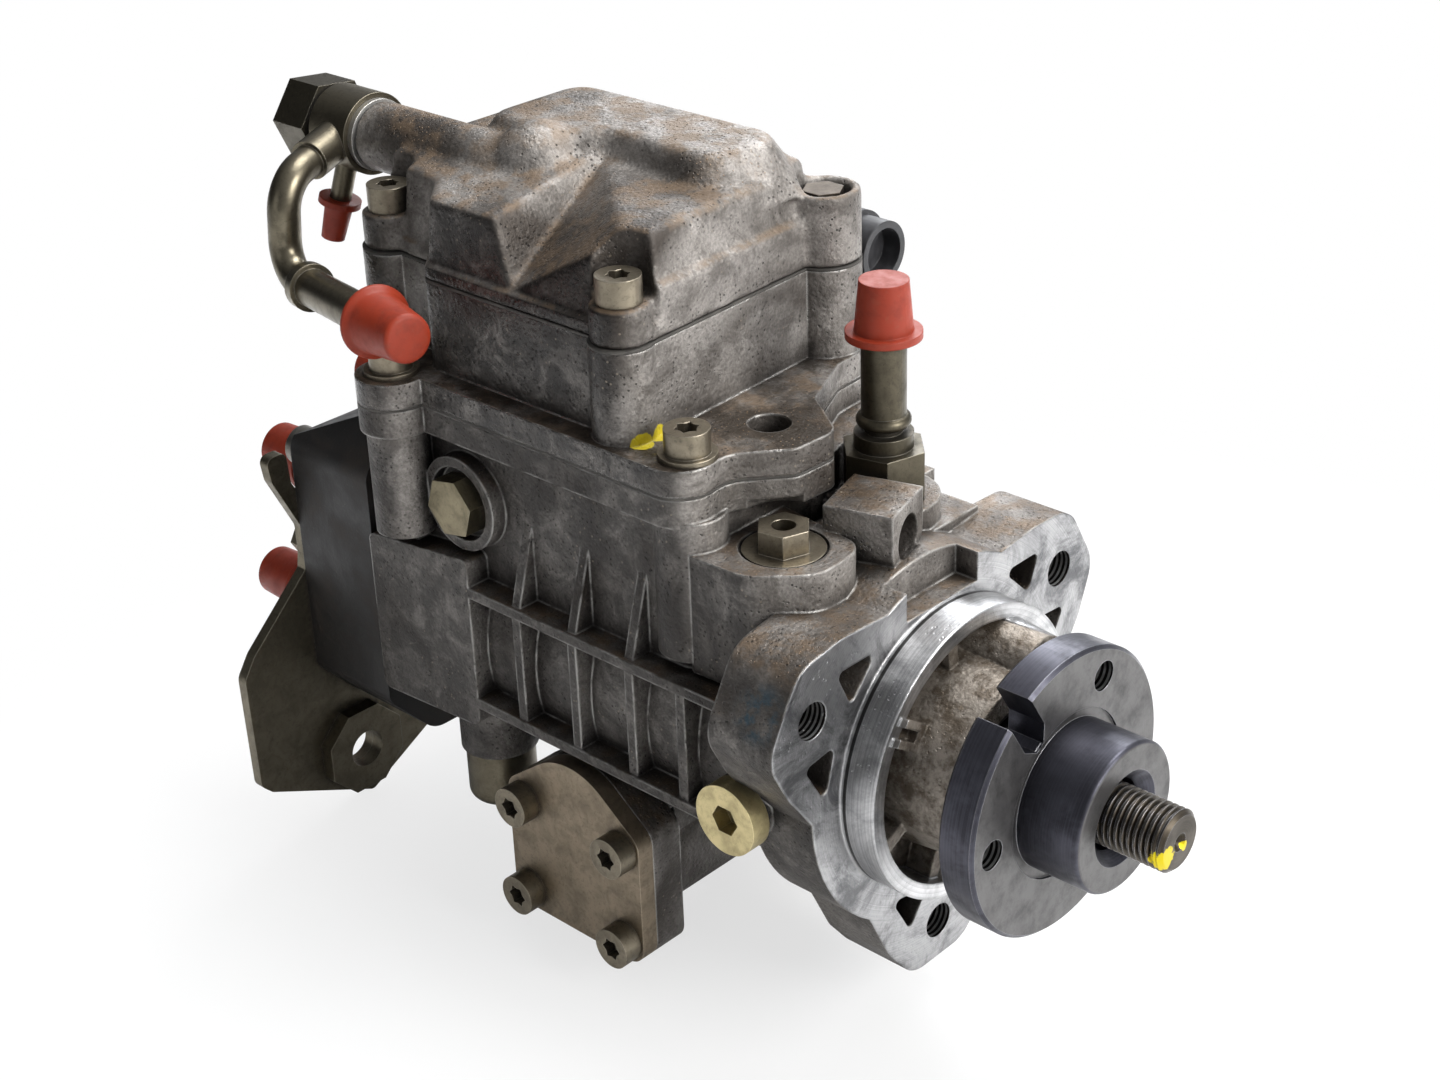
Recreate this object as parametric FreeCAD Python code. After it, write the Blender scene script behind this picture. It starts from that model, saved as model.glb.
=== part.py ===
import FreeCAD, Part
import math
import os

from FreeCAD import Vector

# Diesel injection pump of the distributor type, six outlets, electronic quantity control.
# Millimetres. The origin lies on the drive axis in the mounting flange's front face.
# +X runs along the drive shaft out of the flange, +Z is up, -Y is the ribbed side.

# Fits and gaps
RUNNING_GAP = 0.05
CLEAR_GAP = 0.3
SEAL_GAP = 0.3
GASKET_THICK = 0.6

# Drive shaft, hub and front bearing
SHAFT_RADIUS = 10.0
SHAFT_TIP_X = 61.2
THREAD_RADIUS = 7.0
THREAD_START_X = 40.5
HUB_BACK_X = 24.6
HUB_DISC_THICK = 9.0
HUB_DISC_RADIUS = 32.7
HUB_NOSE_RADIUS = 17.0
HUB_NOSE_X = 48.0
HUB_FRONT_BORE_RADIUS = 8.0
HUB_FRONT_CHAMFER = 3.4
HUB_HOLE_CIRCLE = 26.0
HUB_HOLE_RADIUS = 3.4
HUB_HOLE_COUNT = 3
HUB_FIRST_HOLE_ANGLE = 64.0
HUB_NOTCH_ANGLE = 122.5
HUB_NOTCH_WIDTH = 7.6
HUB_NOTCH_DEPTH = 13.5
KEY_WIDTH = 3.0
KEY_RADIUS = 6.5
BEARING_WALL = 2.0
BEARING_BACK_X = -26.0
BEARING_FRONT_X = 10.0
SEAL_OUTER_RADIUS = 16.0
SEAL_LENGTH = 7.0

# Mounting flange and pilot
FLANGE_THICK = 17.5
PILOT_RADIUS = 34.0
PILOT_HEIGHT = 9.0
PILOT_WALL = 3.6
PILOT_POCKET_DEPTH = 14.0
NOSE_RADIUS = 21.5
NOSE_FRONT_X = 20.0
LOBE_COUNT = 3
FIRST_LOBE_ANGLE = 30.0
LOBE_ROOT_RADIUS = 42.6
LOBE_TIP_RADIUS = 57.5
FLANGE_HOLE_CIRCLE = 48.8
FLANGE_HOLE_RADIUS = 4.2
LOBE_POCKET_DEPTH = 11.0
TOP_NOTCH_DEPTH = 6.0

# Pump housing
REAR_FACE_X = -139.0
BARREL_RADIUS = 38.5
SIDE_HALF_WIDTH = 43.0
WEB_HALF_WIDTH = 36.5
DECK_HALF_WIDTH = 41.0
DECK_REAR_X = -141.0
DECK_LOWER_Z = 54.0
DECK_Z = 60.5
UPPER_FRONT_X = -37.0
RIB_THICK = 2.6
UPPER_RIB_Z = 17.6
LOWER_RIB_Z = -12.0
RIB_HEIGHT = 3.0
UPRIGHT_RIBS_X = (-88.8, -70.7, -52.9, -37.5)
GUSSET_TOP_Z = 38.0
SIDE_BLOCK_FRONT_X = -104.0
SIDE_BLOCK_TOP_Z = 24.0
SIDE_BLOCK_BOTTOM_Z = -20.5
VALVE_PAD_Z = 48.0
VALVE_AXIS = (-24.5, -22.5)
VALVE_SEAT_RADIUS = 9.6
PORT_AXIS_Z = 45.7
PORT_HALF_SIZE = 8.3
PORT_BORE_RADIUS = 5.3
PORT_TURN = 16.5
PORT_FACE = (-10.0, 0.7)
PORT_LENGTH = 16.0
INLET_AXIS = (-28.0, 14.5)
INLET_PAD_Z = 45.5
INLET_PAD_RADIUS = 12.5
HEX_PLUG_AT = (-107.5, 38.5)
HEX_PLUG_RECESS_RADIUS = 9.0
LOCK_PLUG_AT = (-17.6, -3.2)
LOCK_PLUG_RADIUS = 8.2
LOCK_PLUG_SEAT_Y = -45.5

# Inner chamber
CHAMBER_RADIUS = 33.5
RING_BORE_RADIUS = 29.6
VANE_BORE_RADIUS = 28.3
VANE_FRONT_X = -30.0
VANE_WIDTH = 14.0
PLATE_THICK = 4.5

# Vane pump
ROTOR_RADIUS = 18.6
ECCENTRIC_BORE_RADIUS = 21.2
ECCENTRIC_OFFSET = 2.2
VANE_COUNT = 4
VANE_THICK = 2.4
VANE_LENGTH = 7.5

# Shaft claws, cross coupling and cam
CLAW_FLANGE_X = -60.0
CLAW_FLANGE_THICK = 4.0
CLAW_FLANGE_RADIUS = 15.5
CLAW_WIDTH = 6.6
CLAW_INNER = 8.4
CLAW_OUTER = 14.0
COUPLING_FRONT_X = -62.5
COUPLING_LENGTH = 9.0
COUPLING_RADIUS = 14.3
COUPLING_SLOT_WIDTH = 7.2
ROLLER_RING_FRONT_X = -58.5
ROLLER_RING_REAR_X = -82.0
ROLLER_RING_INNER = 17.2
OUTLET_COUNT = 6
ROLLER_RADIUS = 4.0
ROLLER_LENGTH = 7.0
ROLLER_MEAN_RADIUS = 22.0
ROLLER_PIN_RADIUS = 1.6
ROLLER_LEAD_ANGLE = 15.0
CAM_LIFT = 2.6
CAM_LOBE_RADIUS = 5.2
CAM_RADIUS = 28.0
CAM_THICK = 8.0
PLUNGER_RADIUS = 6.0
PLUNGER_END_X = -151.0
PLUNGER_FOOT_RADIUS = 9.5
PLUNGER_FOOT_THICK = 3.0
BRIDGE_THICK = 4.0
SPRING_SPACING = 21.0
SPRING_COIL_RADIUS = 5.2
SPRING_WIRE = 1.6
COLLAR_LENGTH = 11.0
COLLAR_RADIUS = 12.5

# Distributor head
HEAD_REAR_X = -168.0
HEAD_HALF_WIDTH = 42.0
HEAD_TOP_Z = 49.0
HEAD_TOP_REAR_Z = 38.0
HEAD_BOTTOM_Z = -40.0
HEAD_BARREL_RADIUS = 14.0
HEAD_BARREL_X = -124.0
OUTLET_CIRCLE = 34.0
FIRST_OUTLET_ANGLE = 20.0
SHUTOFF_AT = (-147.5, 21.5)
SHUTOFF_STEM_RADIUS = 7.0
SHUTOFF_DEPTH = 12.0
ARMATURE_BORE_RADIUS = 4.0
HOLDER_FLATS = 13.0
HOLDER_HEX_LENGTH = 9.0
HOLDER_NECK_RADIUS = 5.0
HOLDER_END_X = -191.0
HOLDER_BORE_RADIUS = 2.6
VALVE_STEM_RADIUS = 2.2
VALVE_LIFT = 1.5

# Support bracket on the head's rear face
BRACKET_FRONT_X = HEAD_REAR_X
BRACKET_THICK = 3.0
BRACKET_HOLE = (-32.4, -54.3)
BRACKET_HOLE_RADIUS = 5.0
BRACKET_SCREWS = ((-36.2, 6.5), (-36.5, -25.5))

# Timing device
TIMING_X = -72.2
TIMING_Z = -43.8
TIMING_PISTON_RADIUS = 11.5
TIMING_PISTON_LENGTH = 52.0
TIMING_TRAVEL = 7.5
TIMING_SPRING_POCKET = 8.0
TIMING_CASE_RADIUS = 18.0
TIMING_HALF_LENGTH = 40.0
TIMING_COVER_THICK = 4.5
TIMING_SCREW_SPACING = (31.8, 25.0)
TIMING_PIN_RADIUS = 4.0

SOLENOID_AT = (-115.0, -28.0)
SOLENOID_RADIUS = 8.6
SOLENOID_TOP_Z = -33.5
SOLENOID_END_Z = -48.5

# Actuator housing and cover
ACTUATOR_FLANGE_THICK = 6.0
COVER_SEAM_Z = 88.0
WALL = 6.0
WALL_LEFT_Y = -35.0
WALL_RIGHT_Y = 36.0
WALL_FRONT_X = -53.5
WALL_REAR_X = -150.0
INNER_BOSS_RADIUS = 8.0
COVER_RIM_THICK = 3.2
COVER_SEAT_Z = 97.0
COVER_RING_Z = 105.0
COVER_BAND_Z = 99.5  # top of the raised band on the lid's front
COVER_PANEL_Z = 110.3  # flat part of the lid's roof beside the plateau
COVER_TOP_Z = 116.5
COVER_RIDGE_X = -98.0  # edge between the rear block of the lid and its front recess
COVER_RECESS_LOW = (-92.0, -33.0, 92.4)  # where the recess runs out at the rim
COVER_DOME = (-113.0, -4.0)
COVER_DOME_RADIUS = 10.5
FRONT_LEFT_SCREW = (-60.2, -32.0)
REAR_LEFT_SCREW = (-142.6, -24.0)
REAR_RIGHT_SCREW = (-142.6, 30.0)
RING_BOLT = (-59.0, 31.0)
STUB_Y = -8.0
STUB_Z = 106.0
STUB_RADIUS = 8.3
STUB_END_X = -164.0
DECK_SCREWS = ((-42.2, -32.0), (-125.0, -42.0), (-80.0, 41.0), (-125.0, 41.0))
DECK_HOLE = (-40.0, -9.0)
DECK_HOLE_RADIUS = 4.7
ACTUATOR_X = -114.0
ECCENTRIC_THROW = 2.8
ECCENTRIC_BALL_RADIUS = 2.9
ACTUATOR_SWING = 60.0

# Fasteners
SCREW_HEAD_RADIUS = 5.0
SCREW_HEAD_HEIGHT = 6.0
SCREW_SHANK_RADIUS = 3.0
WASHER_RADIUS = 6.4
WASHER_THICK = 1.2

X_AXIS = Vector(1, 0, 0)
Y_AXIS = Vector(0, 1, 0)
Z_AXIS = Vector(0, 0, 1)


def vec(x, y, z):
    return Vector(x, y, z)


def turned(shape, degrees, centre=Vector(0, 0, 0), axis=X_AXIS):
    copy = shape.copy()
    copy.rotate(centre, axis, degrees)
    return copy


def moved(shape, x=0.0, y=0.0, z=0.0):
    copy = shape.copy()
    copy.translate(Vector(x, y, z))
    return copy


def rod_x(radius, x_low, x_high, y=0.0, z=0.0):
    return Part.makeCylinder(radius, x_high - x_low, vec(x_low, y, z), X_AXIS)


def rod_y(radius, y_low, y_high, x=0.0, z=0.0):
    return Part.makeCylinder(radius, y_high - y_low, vec(x, y_low, z), Y_AXIS)


def rod_z(radius, z_low, z_high, x=0.0, y=0.0):
    return Part.makeCylinder(radius, z_high - z_low, vec(x, y, z_low), Z_AXIS)


def tube_x(outer, inner, x_low, x_high, y=0.0, z=0.0):
    return rod_x(outer, x_low, x_high, y, z).cut(rod_x(inner, x_low - 1, x_high + 1, y, z))


def box(x_low, x_high, y_low, y_high, z_low, z_high):
    corner = vec(x_low, y_low, z_low)
    return Part.makeBox(x_high - x_low, y_high - y_low, z_high - z_low, corner)


def on_circle(x, radius, degrees):
    """A point in the plane at x, at an angle measured from +Y towards +Z."""
    turn = math.radians(degrees)
    return vec(x, radius * math.cos(turn), radius * math.sin(turn))


def joined(shapes):
    whole = shapes[0].multiFuse(shapes[1:]) if len(shapes) > 1 else shapes[0]
    return whole.removeSplitter()


def less(shape, tools):
    for tool in tools:
        shape = shape.cut(tool)
    return shape


def rounded_wire(points):
    """A closed wire through (point, radius) pairs, each corner an arc of its radius."""
    edges = []
    ends = []
    count = len(points)
    for index in range(count):
        before = points[index - 1][0]
        corner, radius = points[index]
        after = points[(index + 1) % count][0]
        to_before = (before - corner).normalize()
        to_after = (after - corner).normalize()
        half = to_before.getAngle(to_after) / 2
        if radius <= 0:
            ends.append((corner, None, corner))
            continue
        back = radius / math.tan(half)
        middle = (to_before + to_after).normalize() * (radius / math.sin(half) - radius)
        ends.append((corner + to_before * back, corner + middle, corner + to_after * back))
    for index in range(count):
        start, middle, end = ends[index]
        if middle is not None:
            edges.append(Part.Arc(start, middle, end).toShape())
        following = ends[(index + 1) % count][0]
        if end.distanceToPoint(following) > 1e-4:
            edges.append(Part.LineSegment(end, following).toShape())
    return Part.Wire(edges)


def wire_at_z(outline, z):
    """A wire in plan from (x, y, corner radius) triples."""
    return rounded_wire([(vec(x, y, z), radius) for x, y, radius in outline])


def plate_z(outline, z_low, z_high):
    return Part.Face(wire_at_z(outline, z_low)).extrude(vec(0, 0, z_high - z_low))


def plate_x(outline, x_low, x_high):
    """A plate across X from (y, z, corner radius) triples."""
    wire = rounded_wire([(vec(x_low, y, z), radius) for y, z, radius in outline])
    return Part.Face(wire).extrude(vec(x_high - x_low, 0, 0))


def plate_y(outline, y_low, y_high):
    """A plate across Y from (x, z, corner radius) triples."""
    wire = rounded_wire([(vec(x, y_low, z), radius) for x, z, radius in outline])
    return Part.Face(wire).extrude(vec(0, y_high - y_low, 0))


def rounded_rectangle(x_low, x_high, y_low, y_high, radius):
    return [(x_low, y_low, radius), (x_high, y_low, radius),
            (x_high, y_high, radius), (x_low, y_high, radius)]


def tapered_block(lower, z_low, upper, z_high, edge_radius):
    """A block lofted between two plans, its upper edge rounded."""
    solid = Part.makeLoft([wire_at_z(lower, z_low), wire_at_z(upper, z_high)], True, True)
    top_edges = [edge for edge in solid.Edges
                 if all(abs(vertex.Z - z_high) < 1e-4 for vertex in edge.Vertexes)]
    return solid.makeFillet(edge_radius, top_edges)


def across_axis(axis):
    return Y_AXIS if abs(axis.x) > 0.9 else X_AXIS


def prism(corners, centre, axis, height):
    """A straight prism over (radius, degrees) corners round an axis."""
    side = across_axis(axis)
    other = axis.cross(side)
    points = []
    for radius, degrees in corners:
        turn = math.radians(degrees)
        points.append(centre + side * (radius * math.cos(turn)) + other * (radius * math.sin(turn)))
    return Part.Face(Part.makePolygon(points + points[:1])).extrude(axis * height)


def hexagon(across_flats, centre, axis, height, turn=0.0):
    corner = across_flats / math.sqrt(3)
    return prism([(corner, turn + 60 * step) for step in range(6)], centre, axis, height)


def lobed_socket(radius, centre, axis, depth):
    """The six-lobed recess in a screw head, going down against the axis."""
    corners = [(radius if step % 2 == 0 else radius * 0.74, 30 * step) for step in range(12)]
    return prism(corners, centre, axis * -1, depth)


def socket_screw(seat, axis, shank_length, head_height=SCREW_HEAD_HEIGHT, washer=False):
    """A cap screw whose head stands on its seat and points along the axis."""
    foot = seat
    parts = []
    if washer:
        parts.append(Part.makeCylinder(WASHER_RADIUS, WASHER_THICK, seat, axis))
        foot = seat + axis * WASHER_THICK
    head = Part.makeCylinder(SCREW_HEAD_RADIUS, head_height, foot, axis)
    top = foot + axis * head_height
    head = head.cut(lobed_socket(SCREW_HEAD_RADIUS * 0.56, top, axis, head_height * 0.55))
    parts.append(head)
    parts.append(Part.makeCylinder(SCREW_SHANK_RADIUS, shank_length, foot, axis * -1))
    return joined(parts)


def coil_spring(start, axis, length, coil_radius, wire_radius, turns):
    """A compression spring along an axis, its coil drawn with short straight steps."""
    steps = 10
    rise = (length - 2 * wire_radius) / (turns * steps)
    points = []
    for index in range(turns * steps + 1):
        turn = 2 * math.pi * index / steps
        points.append(vec(coil_radius * math.cos(turn), coil_radius * math.sin(turn), rise * index))
    corners = []
    for index in range(7):
        turn = math.radians(60 * index)
        corners.append(vec(coil_radius + wire_radius * math.cos(turn), 0, wire_radius * math.sin(turn)))
    coil = Part.makePolygon(points).makePipeShell([Part.makePolygon(corners)], True, False, 1)
    coil = moved(coil, z=wire_radius)
    coil.Placement = FreeCAD.Placement(start, FreeCAD.Rotation(Z_AXIS, axis)).multiply(coil.Placement)
    return coil


def deck_outline(spread=0.0):
    """Plan of the joint between the pump housing and the actuator housing."""
    side = DECK_HALF_WIDTH + spread
    return [
        (DECK_REAR_X, -side + 7, 6), (DECK_REAR_X + 22, -side, 4), (-34.5, -side, 8),
        (-36.5, -26, 8), (-27, -15, 4), (-26.5, -3, 5), (-41, 7, 4),
        (-49, 24, 5), (-50, side - 3, 7), (DECK_REAR_X, side - 3, 6),
    ]


def deck_plate(z_low, z_high):
    """One flange of the joint with its screw bosses."""
    bosses = [rod_z(8.5, z_low, z_high, x, y) for x, y in DECK_SCREWS[1:]]
    return joined([plate_z(deck_outline(), z_low, z_high)] + bosses)


def upper_outline(inset=0.0):
    """Plan of the actuator housing's walls at the cover seam."""
    left = WALL_LEFT_Y + inset
    right = WALL_RIGHT_Y - inset
    front = WALL_FRONT_X - inset
    rear = WALL_REAR_X + inset
    return [
        (rear, left + 9, 6), (-125, left + 7, 3), (-119, left, 3),
        (front, left, 6), (front - 4, right, 7), (rear, right, 7),
    ]


def seam_bosses(z_low, z_high, radius):
    places = (FRONT_LEFT_SCREW, REAR_LEFT_SCREW, REAR_RIGHT_SCREW)
    shapes = [rod_z(radius, z_low, z_high, x, y) for x, y in places]
    shapes.append(rod_z(radius + 1.5, z_low, z_high, *RING_BOLT))
    return shapes


def seam_screw_holes(z_low, z_high, gap):
    places = (FRONT_LEFT_SCREW, REAR_LEFT_SCREW, REAR_RIGHT_SCREW, RING_BOLT)
    return [rod_z(SCREW_SHANK_RADIUS + gap, z_low, z_high, x, y) for x, y in places]


def upper_cavity(wall, z_low, z_high):
    """The space inside the upper walls, leaving the screw bosses standing."""
    places = (FRONT_LEFT_SCREW, REAR_LEFT_SCREW, REAR_RIGHT_SCREW, RING_BOLT)
    bosses = [rod_z(INNER_BOSS_RADIUS, z_low - 1, z_high + 1, x, y) for x, y in places]
    return less(plate_z(upper_outline(wall), z_low, z_high), bosses)


def lobe_angles():
    step = 360.0 / LOBE_COUNT
    return [FIRST_LOBE_ANGLE + step * index for index in range(LOBE_COUNT)]


def make_flange_blank():
    """The three-lobed flange plate without its holes."""
    shapes = [rod_x(LOBE_ROOT_RADIUS, -FLANGE_THICK, 0)]
    for angle in lobe_angles():
        corners = []
        places = ((LOBE_ROOT_RADIUS * 0.98, -37, 0), (51.5, -20, 9), (LOBE_TIP_RADIUS + 2, -9, 9),
                  (LOBE_TIP_RADIUS + 2, 10, 9), (50.5, 20, 9), (LOBE_ROOT_RADIUS * 0.98, 33, 0))
        for radius, offset, rounding in places:
            point = on_circle(-FLANGE_THICK, radius, angle + offset)
            corners.append((point, rounding))
        corners.append((vec(-FLANGE_THICK, 0, 0), 0))
        shapes.append(Part.Face(rounded_wire(corners)).extrude(vec(FLANGE_THICK, 0, 0)))
    return joined(shapes)


def flange_cuts():
    """Tapped holes, lightening pockets and the step at the top of the flange."""
    cuts = []
    pocket = (((47.0, -12.5), (38.5, -25.5), (37.5, -6.5)), ((47.0, 13.0), (38.5, 7.0), (38.5, 26.0)))
    for angle in lobe_angles():
        hole = on_circle(-FLANGE_THICK - 1, FLANGE_HOLE_CIRCLE, angle)
        cuts.append(Part.makeCylinder(FLANGE_HOLE_RADIUS, FLANGE_THICK + 2, hole, X_AXIS))
        for corners in pocket:
            points = [(on_circle(0.5, radius, angle + offset), 1.4) for radius, offset in corners]
            cuts.append(Part.Face(rounded_wire(points)).extrude(vec(-LOBE_POCKET_DEPTH, 0, 0)))
    step = box(-TOP_NOTCH_DEPTH, 1, -12, 12, PILOT_RADIUS, LOBE_TIP_RADIUS)
    cuts.append(step.cut(rod_x(PILOT_RADIUS, -TOP_NOTCH_DEPTH - 1, 2)))
    return cuts


def make_pilot_and_nose():
    """The pilot ring, the cast pockets in it and the bearing nose."""
    nose_root_x = PILOT_HEIGHT - PILOT_POCKET_DEPTH
    ring = tube_x(PILOT_RADIUS, PILOT_RADIUS - PILOT_WALL, -1, PILOT_HEIGHT)
    nose = Part.makeCone(NOSE_RADIUS + 2.5, NOSE_RADIUS, NOSE_FRONT_X - nose_root_x,
                         vec(nose_root_x, 0, 0), X_AXIS)
    shapes = [ring, nose]
    lock_boss = Part.makeCone(9.5, 7.5, NOSE_FRONT_X - 1 - nose_root_x,
                              on_circle(nose_root_x, 22.5, 62), X_AXIS)
    shapes.append(lock_boss)
    for angle in (25, 100, 146, 205, 250, 320):
        rib = box(nose_root_x, PILOT_HEIGHT - 2.5, NOSE_RADIUS - 2, PILOT_RADIUS - 1, -1.6, 1.6)
        shapes.append(turned(rib, angle))
    nub = box(PILOT_HEIGHT - 4, PILOT_HEIGHT + 0.5, NOSE_RADIUS - 1, PILOT_RADIUS - 1.5, -3.2, 3.2)
    nub = nub.cut(box(PILOT_HEIGHT - 2, PILOT_HEIGHT + 2, NOSE_RADIUS + 3, PILOT_RADIUS, -1.3, 1.3))
    shapes.append(turned(nub, 146))
    return joined(shapes)


def make_side_ribs():
    """The ribbed panel on the near side: block, two long ribs, uprights and gussets."""
    outer = -SIDE_HALF_WIDTH
    shapes = [plate_y([(REAR_FACE_X, SIDE_BLOCK_BOTTOM_Z, 2), (SIDE_BLOCK_FRONT_X, SIDE_BLOCK_BOTTOM_Z + 2, 3),
                       (SIDE_BLOCK_FRONT_X, SIDE_BLOCK_TOP_Z + 2, 2), (REAR_FACE_X, SIDE_BLOCK_TOP_Z - 2, 2)],
                      outer, -20)]
    half = RIB_THICK / 2
    for z in (UPPER_RIB_Z, LOWER_RIB_Z):
        shapes.append(box(SIDE_BLOCK_FRONT_X - 2, -FLANGE_THICK + 1, outer, -20, z - half, z + half))
    for x in UPRIGHT_RIBS_X:
        shapes.append(box(x - half, x + half, outer + 0.6, -20, LOWER_RIB_Z, UPPER_RIB_Z))
    for x in UPRIGHT_RIBS_X[:-1]:
        gusset = Part.Face(Part.makePolygon([
            vec(x - half, outer + 0.6, UPPER_RIB_Z), vec(x - half, -WEB_HALF_WIDTH, GUSSET_TOP_Z),
            vec(x - half, -20, GUSSET_TOP_Z), vec(x - half, -20, UPPER_RIB_Z),
            vec(x - half, outer + 0.6, UPPER_RIB_Z)])).extrude(vec(RIB_THICK, 0, 0))
        shapes.append(gusset)
    return shapes


def timing_outline(grow=0.0):
    """The outline of the timing cylinder's end, seen along Y: two flat sides and a domed top."""
    half_x = TIMING_SCREW_SPACING[0] / 2 + 5.6 + grow
    half_z = TIMING_SCREW_SPACING[1] / 2 + 5.6 + grow
    left = TIMING_X - half_x
    right = TIMING_X + half_x
    low = TIMING_Z - half_z
    high = TIMING_Z + half_z
    return [(left, low, 5), (right, low, 5), (right, high - 2, 5),
            (TIMING_X, high + 14, 17), (left, high - 2, 5)]


def timing_screw_places():
    half_x = TIMING_SCREW_SPACING[0] / 2
    half_z = TIMING_SCREW_SPACING[1] / 2
    return [(TIMING_X + sx * half_x, TIMING_Z + sz * half_z) for sx in (-1, 1) for sz in (-1, 1)]


def make_timing_case():
    """The cast cylinder across the underside, with a flanged pad at both ends."""
    shapes = [rod_y(TIMING_CASE_RADIUS, -TIMING_HALF_LENGTH, TIMING_HALF_LENGTH, TIMING_X, TIMING_Z)]
    shapes.append(box(TIMING_X - 16, TIMING_X + 16, -30, 30, TIMING_Z, -20))
    shapes.append(plate_y(timing_outline(), -TIMING_HALF_LENGTH, -TIMING_HALF_LENGTH + 9))
    shapes.append(plate_y(timing_outline(), TIMING_HALF_LENGTH - 9, TIMING_HALF_LENGTH))
    return shapes


def port_frame(shape):
    """Turns a shape made along X at the origin to the small port's direction and face."""
    placed = turned(shape, PORT_TURN, axis=Z_AXIS)
    return moved(placed, PORT_FACE[0], PORT_FACE[1], PORT_AXIS_Z)


def make_front_bosses():
    """Bosses on the shoulder between the flange and the deck."""
    valve_x, valve_y = VALVE_AXIS
    inlet_x, inlet_y = INLET_AXIS
    shapes = [box(UPPER_FRONT_X - 4, -FLANGE_THICK + 3, -31, 31, 0, 40.0)]
    pad = [(UPPER_FRONT_X - 2, -38.5, 3), (valve_x + 3, -37.5, 8), (valve_x + 14, -27, 8),
           (valve_x + 13, -12, 6), (UPPER_FRONT_X - 2, -8, 2)]
    shapes.append(plate_z(pad, 20, VALVE_PAD_Z))
    shapes.append(rod_z(INLET_PAD_RADIUS, 20, INLET_PAD_Z, inlet_x, inlet_y))
    shapes.append(box(UPPER_FRONT_X - 6, inlet_x, inlet_y - 10, inlet_y + 18, 20, INLET_PAD_Z - 1))
    size = PORT_HALF_SIZE
    port = joined([box(-PORT_LENGTH, 0, -size, size, 0, size), rod_x(size, -PORT_LENGTH, 0)])
    shapes.append(port_frame(port))
    shapes.append(box(-32, PORT_FACE[0] - 3.5, -8, 8, 30, PORT_AXIS_Z - 2))
    return shapes


def make_housing_columns():
    """Upright screw columns under the deck and the round boss of the side plug."""
    shapes = []
    front_x, front_y = DECK_SCREWS[0]
    shapes.append(rod_z(8.0, 22, DECK_LOWER_Z + 1, front_x, front_y))
    for x, y in DECK_SCREWS[1:]:
        foot_z = 28 if y < 0 else 22
        shapes.append(rod_z(7.2, foot_z, DECK_LOWER_Z + 1, x, y))
    plug_x, plug_z = HEX_PLUG_AT
    shapes.append(rod_y(HEX_PLUG_RECESS_RADIUS + 2.5, -40.5, -20, plug_x, plug_z))
    return shapes


def chamber_cuts():
    """Every bore and space inside the pump housing."""
    vane_back = VANE_FRONT_X - VANE_WIDTH
    ring_bore_end = ROLLER_RING_REAR_X - 1.0
    cuts = [
        rod_x(SHAFT_RADIUS + BEARING_WALL, BEARING_BACK_X - 6, BEARING_FRONT_X + 4),
        rod_x(SEAL_OUTER_RADIUS, NOSE_FRONT_X - SEAL_LENGTH - 1.2, NOSE_FRONT_X + 1),
        rod_x(VANE_BORE_RADIUS, vane_back - 1, VANE_FRONT_X),
        rod_x(RING_BORE_RADIUS, ring_bore_end, vane_back),
        rod_x(CHAMBER_RADIUS, REAR_FACE_X - 1, ring_bore_end),
        box(-134, -64, -25, 27, 10, DECK_Z + 1),
        rod_y(TIMING_PISTON_RADIUS + RUNNING_GAP, -TIMING_HALF_LENGTH - 1, TIMING_HALF_LENGTH + 1,
              TIMING_X, TIMING_Z),
        box(TIMING_X - 5, TIMING_X + 5, -12, 12, TIMING_Z, -20),
    ]
    return cuts


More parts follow.
